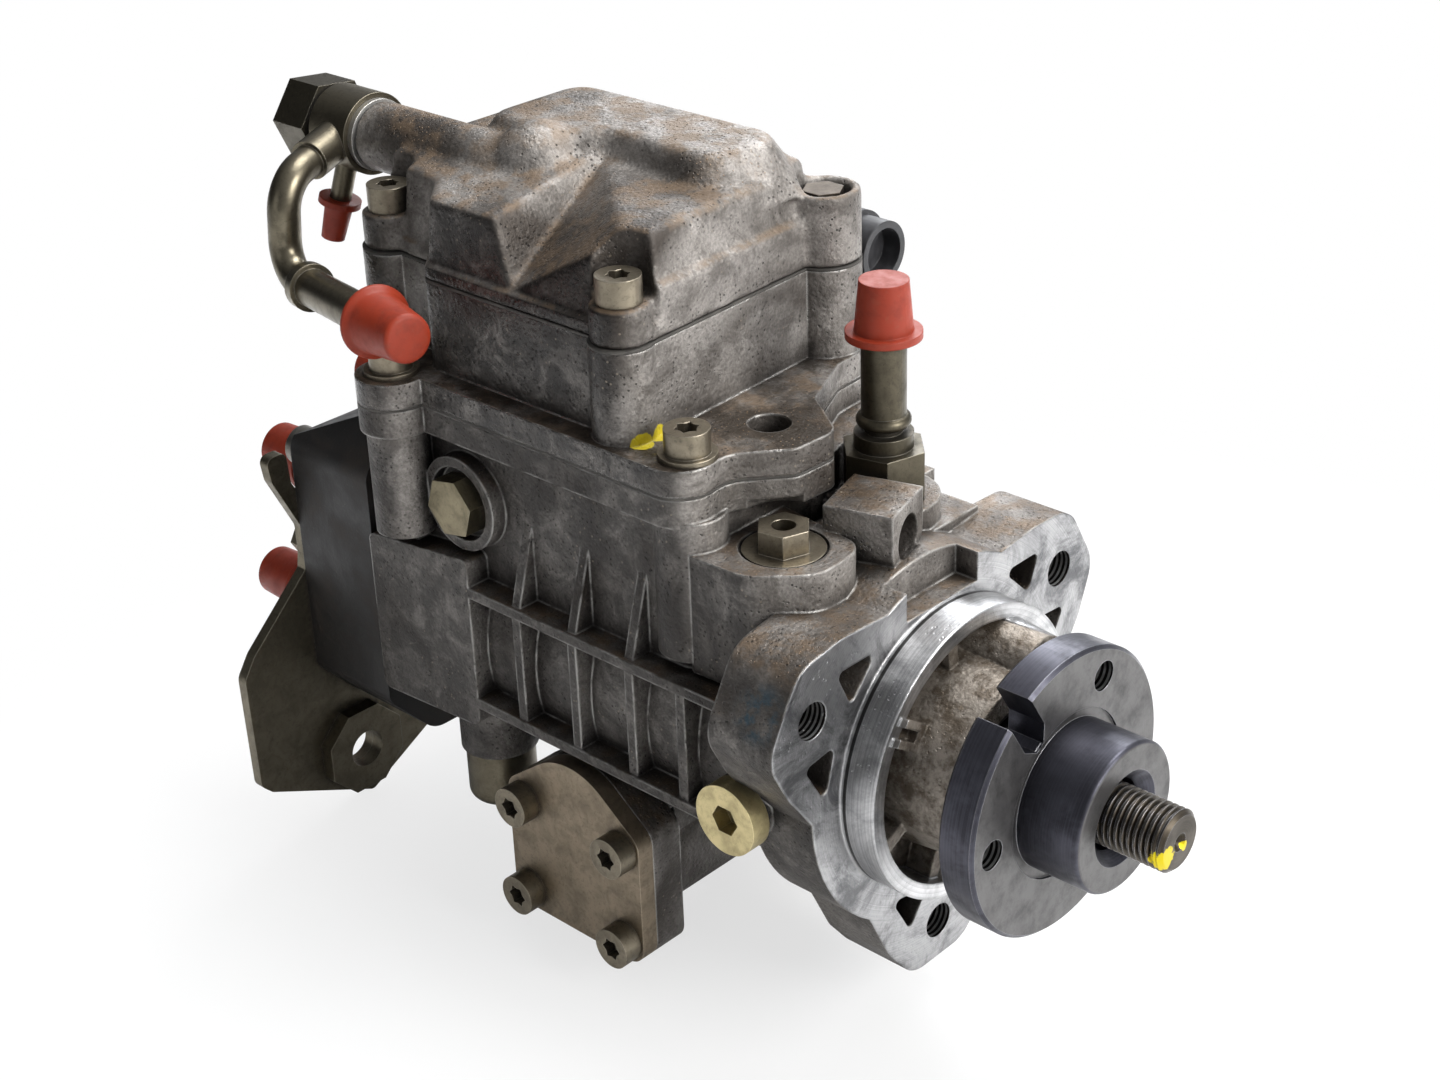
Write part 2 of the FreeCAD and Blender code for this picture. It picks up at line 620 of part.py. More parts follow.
def make_pump_housing():
    shapes = [rod_x(BARREL_RADIUS, REAR_FACE_X, -FLANGE_THICK + 1)]
    web_top = [(REAR_FACE_X, -WEB_HALF_WIDTH, 0), (UPPER_FRONT_X, -WEB_HALF_WIDTH, 5),
               (UPPER_FRONT_X, WEB_HALF_WIDTH, 5), (REAR_FACE_X, WEB_HALF_WIDTH, 0)]
    shapes.append(plate_z(web_top, 0, DECK_LOWER_Z + 1))
    shapes.append(deck_plate(DECK_LOWER_Z, DECK_Z))
    shapes.append(make_flange_blank())
    shapes.append(make_pilot_and_nose())
    shapes += make_side_ribs()
    far_ribs = [box(REAR_FACE_X, -FLANGE_THICK + 1, 20, SIDE_HALF_WIDTH - 2, z - 1.3, z + 1.3)
                for z in (UPPER_RIB_Z, LOWER_RIB_Z)]
    shapes += far_ribs
    shapes += make_timing_case()
    shapes += make_front_bosses()
    shapes += make_housing_columns()
    lock_x, lock_z = LOCK_PLUG_AT
    shapes.append(rod_y(7.5, LOCK_PLUG_SEAT_Y, -20, lock_x - 1, lock_z))
    shapes.append(rod_z(SOLENOID_RADIUS + 1.0, SOLENOID_TOP_Z, -12, *SOLENOID_AT))
    for side in (-1, 1):
        y_low, y_high = sorted((side * 25, side * 40))
        shapes.append(box(REAR_FACE_X, REAR_FACE_X + 15, y_low, y_high, 22, 42))
    solid = joined(shapes)
    solid = less(solid, chamber_cuts() + flange_cuts())
    more = [rod_y(HEX_PLUG_RECESS_RADIUS, -43, -37.5, *HEX_PLUG_AT),
            rod_y(4.0, -42, -22, *HEX_PLUG_AT),
            rod_z(VALVE_SEAT_RADIUS, VALVE_PAD_Z - 1.4, VALVE_PAD_Z + 8, *VALVE_AXIS),
            rod_z(5.0, 30, VALVE_PAD_Z, *VALVE_AXIS),
            rod_z(5.0, 32, INLET_PAD_Z + 1, *INLET_AXIS),
            rod_y(5.0, -47, -34, lock_x, lock_z),
            rod_y(LOCK_PLUG_RADIUS + 0.5, -65, LOCK_PLUG_SEAT_Y, lock_x, lock_z),
            rod_z(10.3, INLET_PAD_Z, DECK_LOWER_Z + 1.5, *INLET_AXIS)]
    port_bore = rod_x(PORT_BORE_RADIUS, -PORT_LENGTH + 2, 1)
    more.append(port_frame(port_bore))
    lock_pin = on_circle(NOSE_FRONT_X - 14, 24.0, 62)
    more.append(Part.makeCylinder(2.6, 20, lock_pin, X_AXIS))
    for x, y in DECK_SCREWS:
        more.append(rod_z(SCREW_SHANK_RADIUS + 0.05, 36, DECK_Z + 1, x, y))
    more.append(rod_z(DECK_HOLE_RADIUS, DECK_LOWER_Z - 3, DECK_Z + 1, *DECK_HOLE))
    for x, z in timing_screw_places():
        more.append(rod_y(SCREW_SHANK_RADIUS + 0.05, -TIMING_HALF_LENGTH - 1, -TIMING_HALF_LENGTH + 13, x, z))
        more.append(rod_y(SCREW_SHANK_RADIUS + 0.05, TIMING_HALF_LENGTH - 13, TIMING_HALF_LENGTH + 1, x, z))
    return less(solid, more)


def make_actuator_gasket():
    holes = [box(-134, -66, -24, 26, 0, 200), rod_z(DECK_HOLE_RADIUS, 0, 200, *DECK_HOLE)]
    holes += [rod_z(SCREW_SHANK_RADIUS + CLEAR_GAP, 0, 200, x, y) for x, y in DECK_SCREWS]
    return less(deck_plate(DECK_Z, DECK_Z + GASKET_THICK), holes)


def make_actuator_housing():
    base_z = DECK_Z + GASKET_THICK
    shoulder_z = base_z + ACTUATOR_FLANGE_THICK
    shapes = [deck_plate(base_z, shoulder_z), plate_z(upper_outline(), base_z + 2, COVER_SEAM_Z)]
    shapes += seam_bosses(base_z + 3, COVER_SEAM_Z, 7.2)
    shapes.append(box(-86, -70, WALL_RIGHT_Y - 2, WALL_RIGHT_Y + 3, 76, COVER_SEAM_Z - 0.5))
    cuts = [upper_cavity(WALL, base_z + 3.0, COVER_SEAM_Z + 1),
            rod_z(15.0, base_z - 1, base_z + 4, ACTUATOR_X, 0)]
    cuts += [rod_z(SCREW_SHANK_RADIUS + CLEAR_GAP, base_z - 1, shoulder_z + 1, x, y) for x, y in DECK_SCREWS]
    cuts.append(rod_z(DECK_HOLE_RADIUS, base_z - 1, shoulder_z + 1, *DECK_HOLE))
    for x, y in DECK_SCREWS[2:]:
        cuts.append(rod_z(WASHER_RADIUS + 0.6, shoulder_z, shoulder_z + 12, x, y))
    cuts += seam_screw_holes(COVER_SEAM_Z - 16, COVER_SEAM_Z + 1, RUNNING_GAP)
    cuts.append(rod_y(4.0, WALL_RIGHT_Y - WALL - 1, WALL_RIGHT_Y + 4, -78, 81.5))
    return less(joined(shapes), cuts)


def make_cover_gasket():
    top = COVER_SEAM_Z + GASKET_THICK
    sheet = joined([plate_z(upper_outline(), COVER_SEAM_Z, top)] + seam_bosses(COVER_SEAM_Z, top, 7.2))
    cuts = [upper_cavity(WALL, COVER_SEAM_Z - 1, top + 1)]
    cuts += seam_screw_holes(COVER_SEAM_Z - 1, top + 1, CLEAR_GAP)
    return less(sheet, cuts)


def above_plane(point, slope_x, slope_y, reach=90.0):
    """All that lies above a sloping plane, near the point it passes through."""
    corners = [vec(point[0] + dx, point[1] + dy, point[2] + slope_x * dx + slope_y * dy)
               for dx, dy in ((-reach, -reach), (reach, -reach), (reach, reach), (-reach, reach))]
    return Part.Face(Part.makePolygon(corners + corners[:1])).extrude(vec(0, 0, 2 * reach))


def cover_recess():
    """The sloping recess in the lid's near front corner, up to the rear block's side."""
    low = COVER_RECESS_LOW
    floor = above_plane(low, 0.5085, 0.590)
    ridge_low_z = COVER_PANEL_Z - 3.6
    back = COVER_RIDGE_X - low[0]
    side = [(low[0] - back * 1.2, low[2] - (ridge_low_z - low[2]) * 1.2),
            (COVER_RIDGE_X + back * 0.6, ridge_low_z + (ridge_low_z - low[2]) * 0.6),
            (WALL_FRONT_X + 20, COVER_TOP_Z + 20), (WALL_FRONT_X + 20, low[2] - 20)]
    corners = [vec(x, WALL_LEFT_Y - 20, z) for x, z in side]
    front = Part.Face(Part.makePolygon(corners + corners[:1])).extrude(vec(0, -WALL_LEFT_Y + 40, 0))
    return floor.common(front)


def make_top_cover():
    """The cast lid: rim, band, rear block, sloping recess, plateau, dome, bosses and return stub."""
    low_z = COVER_SEAM_Z + GASKET_THICK
    rim_z = low_z + COVER_RIM_THICK
    shapes = [plate_z(upper_outline(), low_z, rim_z)]
    band = plate_z(upper_outline(0.2), low_z, COVER_BAND_Z)
    shapes.append(band.common(box(WALL_FRONT_X - 8, 0, WALL_LEFT_Y + 9, RING_BOLT[1], low_z, COVER_BAND_Z)))
    shapes += seam_bosses(low_z, COVER_SEAT_Z, 6.6)[:-1]
    body = tapered_block(upper_outline(1.2), rim_z - 1, upper_outline(3.6), COVER_PANEL_Z, 3.0)
    rear_slope = above_plane((COVER_RIDGE_X, -31.0, COVER_PANEL_Z - 3.6), 0.0, 0.165)
    rear_slope = rear_slope.common(box(-160, COVER_RIDGE_X, -60, 60, 80, 140))
    body = body.cut(cover_recess()).cut(rear_slope)
    riser = tapered_block(rounded_rectangle(-134, COVER_RIDGE_X - 0.4, -22, 20, 6), COVER_SEAT_Z,
                          rounded_rectangle(-130, COVER_RIDGE_X - 2.5, -20, 16, 5), COVER_TOP_Z, 2.0)
    riser = riser.cut(rear_slope)
    plateau = tapered_block([(-137, -9, 8), (-106, -8, 7), (-98, 2.5, 7), (-61, -3.5, 9), (-57, 24, 7),
                             (-66, 33, 6), (-137, 33, 8)], COVER_SEAT_Z + 8,
                            [(-131, -3, 6), (-108, -2.5, 6), (-100, 6, 6), (-69, 4.5, 7), (-65.5, 22, 5),
                             (-72, 27, 4), (-131, 27, 6)], COVER_TOP_Z, 2.4)
    dome = Part.makeSphere(COVER_DOME_RADIUS, vec(*COVER_DOME, COVER_TOP_Z + 2 - COVER_DOME_RADIUS))
    shapes += [body, riser, plateau, dome]
    stub = rod_x(STUB_RADIUS, STUB_END_X, -121, STUB_Y, STUB_Z)
    shapes += [stub, Part.makeSphere(STUB_RADIUS, vec(-121, STUB_Y, STUB_Z))]
    shapes.append(rod_z(8.6, low_z, COVER_RING_Z, *RING_BOLT))
    cuts = [upper_cavity(WALL + 1, low_z - 1, COVER_RECESS_LOW[2] + 0.6),
            box(-124, -71, 8, 25, COVER_RECESS_LOW[2] - 1, COVER_TOP_Z - 5)]
    for x, y in (REAR_LEFT_SCREW, REAR_RIGHT_SCREW):
        cuts.append(rod_z(6.2, COVER_SEAT_Z, 125, x, y))
    cuts.append(rod_z(7.6, COVER_SEAT_Z, 125, *FRONT_LEFT_SCREW))
    cuts.append(rod_z(6.3, COVER_SEAT_Z - 1, 125, *RING_BOLT))
    cuts += seam_screw_holes(low_z - 1, COVER_SEAT_Z + 1, CLEAR_GAP)
    cuts.append(rod_x(5.0, STUB_END_X - 1, -140, STUB_Y, STUB_Z))
    return less(joined(shapes), cuts)


def make_cover_screws():
    places = (FRONT_LEFT_SCREW, REAR_LEFT_SCREW, REAR_RIGHT_SCREW)
    return Part.makeCompound([socket_screw(vec(x, y, COVER_SEAT_Z), Z_AXIS, 20) for x, y in places])


def make_cover_hex_bolt():
    seat = vec(RING_BOLT[0], RING_BOLT[1], COVER_SEAT_Z - 1)
    head = hexagon(8.5, seat, Z_AXIS, 5.2)
    return joined([head, Part.makeCylinder(SCREW_SHANK_RADIUS, 19, seat, Z_AXIS * -1)])


def make_actuator_screws():
    seat_z = DECK_Z + GASKET_THICK + ACTUATOR_FLANGE_THICK
    return Part.makeCompound([socket_screw(vec(x, y, seat_z), Z_AXIS, 24, 5.4, washer=True)
                              for x, y in DECK_SCREWS])


def outlet_angles():
    step = 360.0 / OUTLET_COUNT
    return [FIRST_OUTLET_ANGLE + step * index for index in range(OUTLET_COUNT)]


def head_screw_places():
    return [(-35.0, 32.0), (35.0, 32.0), (-22.0, -32.0), (36.0, -7.0)]


def make_distributor_head():
    side = HEAD_HALF_WIDTH
    profile = [(-side, -26, 4), (-29, HEAD_BOTTOM_Z, 8), (29, HEAD_BOTTOM_Z, 8), (side, -26, 4),
               (side, 36, 6), (32, HEAD_TOP_Z, 6), (-32, HEAD_TOP_Z, 6), (-side, 36, 6)]
    block = plate_x(profile, HEAD_REAR_X, REAR_FACE_X - CLEAR_GAP)
    slope = Part.Face(Part.makePolygon([
        vec(REAR_FACE_X - 4, -60, HEAD_TOP_Z + 0.1), vec(HEAD_REAR_X - 0.1, -60, HEAD_TOP_REAR_Z),
        vec(HEAD_REAR_X - 0.1, -60, HEAD_TOP_Z + 9), vec(REAR_FACE_X - 4, -60, HEAD_TOP_Z + 9),
        vec(REAR_FACE_X - 4, -60, HEAD_TOP_Z + 0.1)])).extrude(vec(0, 120, 0))
    solid = block.cut(slope)
    spigot = rod_x(CHAMBER_RADIUS - RUNNING_GAP, REAR_FACE_X - 1, REAR_FACE_X + 8)
    barrel = rod_x(HEAD_BARREL_RADIUS, REAR_FACE_X + 6, HEAD_BARREL_X)
    solid = joined([solid, spigot, barrel])
    cuts = [rod_x(PLUNGER_RADIUS + 0.03, PLUNGER_END_X - 8, HEAD_BARREL_X + 1),
            rod_x(5.5, HEAD_REAR_X - 1, HEAD_REAR_X + 7)]
    for angle in outlet_angles():
        seat = on_circle(HEAD_REAR_X - 1, OUTLET_CIRCLE, angle)
        cuts.append(Part.makeCylinder(6.0, 15, seat, X_AXIS))
    for y, z in head_screw_places():
        cuts.append(rod_x(SCREW_SHANK_RADIUS + CLEAR_GAP, HEAD_REAR_X - 1, REAR_FACE_X + 1, y, z))
    cuts.append(rod_y(SHUTOFF_STEM_RADIUS + 0.1, side - SHUTOFF_DEPTH, side + 1, *SHUTOFF_AT))
    for y, z in BRACKET_SCREWS:
        cuts.append(rod_x(2.6, HEAD_REAR_X - 1, HEAD_REAR_X + 9, y, z))
    return less(solid, cuts)


def make_head_screws():
    return Part.makeCompound([socket_screw(vec(HEAD_REAR_X, y, z), X_AXIS * -1, 28, 5)
                              for y, z in head_screw_places()])


def make_delivery_holders():
    shapes = []
    for angle in outlet_angles():
        base = on_circle(HEAD_REAR_X + 12, OUTLET_CIRCLE, angle)
        foot = Part.makeCylinder(6.0 - CLEAR_GAP / 2, 14, base, X_AXIS * -1)
        hex_at = on_circle(HEAD_REAR_X - 0.4, OUTLET_CIRCLE, angle)
        nut = hexagon(HOLDER_FLATS, hex_at, X_AXIS * -1, HOLDER_HEX_LENGTH, turn=angle)
        neck = Part.makeCylinder(HOLDER_NECK_RADIUS, HEAD_REAR_X - HOLDER_END_X, on_circle(HEAD_REAR_X, OUTLET_CIRCLE, angle),
                                 X_AXIS * -1)
        bore = Part.makeCylinder(HOLDER_BORE_RADIUS, 60, on_circle(HEAD_REAR_X + 20, OUTLET_CIRCLE, angle),
                                 X_AXIS * -1)
        shapes.append(joined([foot, nut, neck]).cut(bore))
    return Part.makeCompound(shapes)


def make_delivery_valves():
    shapes = []
    for angle in outlet_angles():
        start = on_circle(HEAD_REAR_X + 11.6, OUTLET_CIRCLE, angle)
        stem = Part.makeCylinder(VALVE_STEM_RADIUS, 9, start, X_AXIS * -1)
        guide = Part.makeCylinder(HOLDER_BORE_RADIUS - 0.06, 3, start, X_AXIS * -1)
        shapes.append(joined([stem, guide]))
    return Part.makeCompound(shapes)


def make_delivery_springs():
    shapes = []
    for angle in outlet_angles():
        start = on_circle(HEAD_REAR_X + 2.4, OUTLET_CIRCLE, angle)
        outer = Part.makeCylinder(HOLDER_BORE_RADIUS - 0.2, 10, start, X_AXIS * -1)
        inner = Part.makeCylinder(HOLDER_BORE_RADIUS - 0.9, 12, start + X_AXIS, X_AXIS * -1)
        shapes.append(outer.cut(inner))
    return Part.makeCompound(shapes)


def soft_cap(tip, axis, length, radius, lip_radius, hollow_radius, taper=0.9):
    """A moulded push-on cap: tapered thimble with a flared lip; its tip and axis are given."""
    start = tip - axis * length
    body = Part.makeCone(radius, radius * taper, length, start, axis)
    lip = Part.makeCylinder(lip_radius, 1.6, start, axis)
    hollow = Part.makeCylinder(hollow_radius, length - 2.0, start, axis)
    return joined([body, lip]).cut(hollow)


def make_delivery_caps():
    shapes = []
    for angle in outlet_angles():
        tip = on_circle(HOLDER_END_X - 3.5, OUTLET_CIRCLE, angle)
        shapes.append(soft_cap(tip, X_AXIS * -1, 15, 7.0, 8.4, HOLDER_NECK_RADIUS))
    return Part.makeCompound(shapes)


def make_central_plug():
    head = hexagon(14, vec(HEAD_REAR_X, 0, 0), X_AXIS * -1, 7)
    return joined([head, rod_x(5.4, HEAD_REAR_X - 1, HEAD_REAR_X + 6.5)])


def make_shutoff_solenoid():
    start = HEAD_HALF_WIDTH
    x, z = SHUTOFF_AT
    body = rod_y(10.0, start + 6, start + 30, x, z)
    nut = hexagon(20, vec(x, start, z), Y_AXIS, 7)
    stem = rod_y(SHUTOFF_STEM_RADIUS, start - SHUTOFF_DEPTH + 1, start + 1, x, z)
    stud = rod_y(2.0, start + 29, start + 37, x, z)
    solid = joined([body, nut, stem, stud])
    return solid.cut(rod_y(ARMATURE_BORE_RADIUS, start - SHUTOFF_DEPTH, start + 16, x, z))


def make_shutoff_armature():
    start = HEAD_HALF_WIDTH
    x, z = SHUTOFF_AT
    return rod_y(ARMATURE_BORE_RADIUS - RUNNING_GAP, start - SHUTOFF_DEPTH + 1.2, start + 12, x, z)


def make_support_bracket():
    outline = [(-49.5, 34.5, 2), (-48.6, 28, 3), (-41.5, 13, 4), (-41.5, 2, 4), (-60.3, -15.5, 5), (-64, -21, 4),
               (-63.5, -52.5, 3), (-60.5, -55.5, 2), (-29, -70.4, 2), (-4, -57, 6), (4, -44, 5), (-16, -36, 5),
               (-37, -34, 3), (-37, -16, 3), (-35.5, -6, 4), (-35.5, 13, 4), (-43, 26, 3), (-43.5, 34.5, 2)]
    plate = plate_x(outline, BRACKET_FRONT_X - BRACKET_THICK, BRACKET_FRONT_X)
    lug = plate_x([(-40.5, 12, 3), (-31.5, 12, 3), (-30.5, 0, 4), (-31, -37, 3), (-46, -38, 3), (-43, -4, 3)],
                  BRACKET_FRONT_X - BRACKET_THICK, BRACKET_FRONT_X)
    cuts = [rod_x(BRACKET_HOLE_RADIUS, BRACKET_FRONT_X - 20, BRACKET_FRONT_X + 5, *BRACKET_HOLE)]
    for angle in outlet_angles():
        centre = on_circle(0, OUTLET_CIRCLE, angle)
        cuts.append(rod_x(8.2, BRACKET_FRONT_X - 20, BRACKET_FRONT_X + 1, centre.y, centre.z))
    for y, z in head_screw_places():
        cuts.append(rod_x(SCREW_HEAD_RADIUS + 0.5, BRACKET_FRONT_X - 20, BRACKET_FRONT_X + 1, y, z))
    for y, z in BRACKET_SCREWS:
        cuts.append(rod_x(2.8, BRACKET_FRONT_X - 20, BRACKET_FRONT_X + 1, y, z))
    return less(joined([plate, lug]), cuts)


def make_bracket_nut():
    centre = vec(BRACKET_FRONT_X, *BRACKET_HOLE)
    pad = prism([(12.5, 22.5 + 45 * step) for step in range(8)], centre, X_AXIS, 4.0)
    return pad.cut(rod_x(BRACKET_HOLE_RADIUS, BRACKET_FRONT_X - 1, BRACKET_FRONT_X + 6, *BRACKET_HOLE))


def make_bracket_screws():
    shapes = []
    for y, z in BRACKET_SCREWS:
        seat = vec(BRACKET_FRONT_X - BRACKET_THICK, y, z)
        head = hexagon(8, seat, X_AXIS * -1, 3.6)
        shapes.append(joined([head, Part.makeCylinder(2.5, 11, seat, X_AXIS)]))
    return Part.makeCompound(shapes)


BANJO_WASHER_THICK = 1.5
BANJO_EYE_LENGTH = 13.0
BANJO_BOLT_RADIUS = 4.9


def banjo_stations():
    first = STUB_END_X
    eye_front = first - BANJO_WASHER_THICK
    eye_back = eye_front - BANJO_EYE_LENGTH
    return first, eye_front, eye_back, eye_back - BANJO_WASHER_THICK


def make_banjo_washers():
    stub_x, eye_front, eye_back, head_x = banjo_stations()
    near = tube_x(8.6, BANJO_BOLT_RADIUS + 0.2, eye_front, stub_x, STUB_Y, STUB_Z)
    far = tube_x(8.6, BANJO_BOLT_RADIUS + 0.2, head_x, eye_back, STUB_Y, STUB_Z)
    return Part.makeCompound([near, far])


def make_banjo_bolt():
    head_x = banjo_stations()[3]
    head = hexagon(19, vec(head_x, STUB_Y, STUB_Z), X_AXIS * -1, 11, turn=6)
    collar = rod_x(9.6, head_x - 1.2, head_x, STUB_Y, STUB_Z)
    return joined([head, collar, rod_x(BANJO_BOLT_RADIUS, head_x - 1, STUB_END_X + 18, STUB_Y, STUB_Z)])


BANJO_EYE_RADIUS = 9.9
PIPE_RADIUS = 3.9
SLEEVE_RADIUS = 4.5
PIPE_ROUTE = (vec(-171.6, -16.0, 105.2), vec(-165.5, -36.5, 101.6), vec(-167.0, -37.5, 79.0),
              vec(-118.0, -49.5, 82.8))
PIPE_BENDS = (9.0, 8.0)
NIPPLE_START = vec(-172.0, -12.0, 100.0)
NIPPLE_END = vec(-175.0, -14.5, 86.5)


def route_wire(points, radii):
    """An open wire of straight runs joined by tangent arcs."""
    edges = []
    start = points[0]
    for index, radius in enumerate(radii):
        corner = points[index + 1]
        to_before = (points[index] - corner).normalize()
        to_after = (points[index + 2] - corner).normalize()
        half = to_before.getAngle(to_after) / 2
        back = radius / math.tan(half)
        middle = corner + (to_before + to_after).normalize() * (radius / math.sin(half) - radius)
        arc_start = corner + to_before * back
        arc_end = corner + to_after * back
        edges.append(Part.LineSegment(start, arc_start).toShape())
        edges.append(Part.Arc(arc_start, middle, arc_end).toShape())
        start = arc_end
    edges.append(Part.LineSegment(start, points[-1]).toShape())
    return Part.Wire(edges)


def pipe_along(points, radii, radius):
    wire = route_wire(points, radii)
    first = (points[1] - points[0]).normalize()
    profile = Part.Wire(Part.makeCircle(radius, points[0], first))
    return wire.makePipeShell([profile], True, True)


def make_return_pipe():
    """Banjo eye with the bent steel pipe, its beads and the small leak nipple brazed on."""
    eye_front, eye_back = banjo_stations()[1:3]
    eye = tube_x(BANJO_EYE_RADIUS, BANJO_BOLT_RADIUS + 0.3, eye_back, eye_front, STUB_Y, STUB_Z)
    pipe = pipe_along(PIPE_ROUTE, PIPE_BENDS, PIPE_RADIUS)
    neck_axis = (PIPE_ROUTE[1] - PIPE_ROUTE[0]).normalize()
    neck = Part.makeCylinder(SLEEVE_RADIUS + 0.4, 12.5, PIPE_ROUTE[0] - neck_axis * 2, neck_axis)
    end_axis = (PIPE_ROUTE[3] - PIPE_ROUTE[2]).normalize()
    bead = Part.makeCylinder(SLEEVE_RADIUS + 1.2, 3.0, PIPE_ROUTE[2] + end_axis * 12, end_axis)
    sleeve = Part.makeCylinder(SLEEVE_RADIUS, 34.0, PIPE_ROUTE[2] + end_axis * 14, end_axis)
    nipple_axis = (NIPPLE_END - NIPPLE_START).normalize()
    nipple = Part.makeCylinder(2.6, NIPPLE_START.distanceToPoint(NIPPLE_END), NIPPLE_START, nipple_axis)
    solid = joined([eye, pipe, neck, bead, sleeve, nipple])
    return solid.cut(rod_x(BANJO_BOLT_RADIUS + 0.3, eye_back - 1, eye_front + 1, STUB_Y, STUB_Z))


def make_return_pipe_cap():
    axis = (PIPE_ROUTE[3] - PIPE_ROUTE[2]).normalize()
    return soft_cap(PIPE_ROUTE[3] + axis * 14.5, axis, 17, 6.9, 8.4, SLEEVE_RADIUS + 0.02, taper=0.68)


def make_nipple_cap():
    axis = (NIPPLE_END - NIPPLE_START).normalize()
    return soft_cap(NIPPLE_END + axis * 7, axis, 10.5, 3.6, 5.2, 2.6 + 0.02, taper=0.8)


INLET_HEX_HEIGHT = 11.5
INLET_TUBE_RADIUS = 4.2
INLET_TOP_Z = 92.0


def make_inlet_fitting():
    x, y = INLET_AXIS
    shapes = [hexagon(17, vec(x, y, INLET_PAD_Z), Z_AXIS, INLET_HEX_HEIGHT, turn=-46),
              rod_z(6.6, INLET_PAD_Z + INLET_HEX_HEIGHT - 1, 60.5, x, y),
              rod_z(INLET_TUBE_RADIUS, 58, INLET_TOP_Z, x, y),
              rod_z(5.0, 63.5, 86, x, y),
              Part.makeTorus(4.6, 1.5, vec(x, y, 63.3), Z_AXIS),
              rod_z(4.9, 34, INLET_PAD_Z + 1, x, y)]
    return joined(shapes).cut(rod_z(2.8, 33, INLET_TOP_Z + 1, x, y))


def make_inlet_cap():
    x, y = INLET_AXIS
    return soft_cap(vec(x, y, 95.5), Z_AXIS, 13, 6.6, 8.4, 5.0 + 0.02, taper=0.82)


def make_pressure_valve():
    x, y = VALVE_AXIS
    shapes = [hexagon(10.5, vec(x, y, VALVE_PAD_Z - 0.5), Z_AXIS, 5.6, turn=10),
              rod_z(VALVE_SEAT_RADIUS - 0.6, VALVE_PAD_Z - 1.4, VALVE_PAD_Z - 0.1, x, y),
              rod_z(4.9, 31, VALVE_PAD_Z, x, y)]
    return joined(shapes).cut(rod_z(2.6, 30, VALVE_PAD_Z + 8, x, y))


def make_pressure_valve_piston():
    return rod_z(2.6 - RUNNING_GAP, 33, 38, *VALVE_AXIS)


def make_side_hex_bolt():
    x, z = HEX_PLUG_AT
    head = hexagon(13, vec(x, -37.5, z), Y_AXIS * -1, 6.0, turn=12)
    return joined([head, rod_y(4.0 - 0.05, -38, -23, x, z)])


def make_locking_plug():
    x, z = LOCK_PLUG_AT
    head = rod_y(LOCK_PLUG_RADIUS, LOCK_PLUG_SEAT_Y - 5, LOCK_PLUG_SEAT_Y, x, z)
    body = rod_y(5.0 - 0.05, -46, -35, x, z)
    socket = hexagon(6.2, vec(x, -51, z), Y_AXIS, 4.5)
    return joined([head, body]).cut(socket)


def make_timing_cover(side):
    face = side * TIMING_HALF_LENGTH
    outer = side * (TIMING_HALF_LENGTH + TIMING_COVER_THICK)
    solid = plate_y(timing_outline(), min(face, outer), max(face, outer))
    holes = [rod_y(SCREW_SHANK_RADIUS + CLEAR_GAP, min(face, outer) - 1, max(face, outer) + 1, x, z)
             for x, z in timing_screw_places()]
    return less(solid, holes)


def make_timing_screws():
    shapes = []
    for side in (-1, 1):
        y = side * (TIMING_HALF_LENGTH + TIMING_COVER_THICK)
        for x, z in timing_screw_places():
            shapes.append(socket_screw(vec(x, y, z), Y_AXIS * side, 15, 5.0))
    return Part.makeCompound(shapes)


def timing_piston_low():
    return -TIMING_HALF_LENGTH + 3.0


def make_timing_piston():
    low = timing_piston_low()
    high = low + TIMING_PISTON_LENGTH
    solid = rod_y(TIMING_PISTON_RADIUS, low, high, TIMING_X, TIMING_Z)
    cuts = [rod_y(7.5, high - TIMING_SPRING_POCKET, high + 1, TIMING_X, TIMING_Z),
            rod_y(7.5, low - 1, low + 12, TIMING_X, TIMING_Z),
            rod_z(6.2, TIMING_Z - 7, TIMING_Z + 20, TIMING_X, 0)]
    return less(solid, cuts)


def make_timing_spring():
    start = timing_piston_low() + TIMING_PISTON_LENGTH - TIMING_SPRING_POCKET + 0.3
    length = TIMING_HALF_LENGTH - 0.4 - start
    return coil_spring(vec(TIMING_X, start, TIMING_Z), Y_AXIS, length, 5.6, 1.2, 5)


def make_timing_pin():
    """The pin that links the roller ring to the timing piston."""
    return rod_z(TIMING_PIN_RADIUS, TIMING_Z - 4, -19.5, TIMING_X, 0)


def make_timing_solenoid():
    body = rod_z(SOLENOID_RADIUS, SOLENOID_END_Z, SOLENOID_TOP_Z, *SOLENOID_AT)
    low_edges = [edge for edge in body.Edges
                 if all(abs(vertex.Z - SOLENOID_END_Z) < 1e-4 for vertex in edge.Vertexes)]
    return body.makeFillet(2.5, low_edges)


def make_front_bearing():
    return tube_x(SHAFT_RADIUS + BEARING_WALL, SHAFT_RADIUS + RUNNING_GAP, BEARING_BACK_X, BEARING_FRONT_X)


def make_shaft_seal():
    back = NOSE_FRONT_X - SEAL_LENGTH
    ring = tube_x(SEAL_OUTER_RADIUS, SHAFT_RADIUS + SEAL_GAP, back, NOSE_FRONT_X - 0.6)
    groove = tube_x(SEAL_OUTER_RADIUS - 1.5, SHAFT_RADIUS + 1.6, back + 2.4, NOSE_FRONT_X)
    return ring.cut(groove)


def taper_profile():
    """Shaft radius at the hub's back face and at the taper's small end."""
    return SHAFT_RADIUS, HUB_FRONT_BORE_RADIUS - 0.3


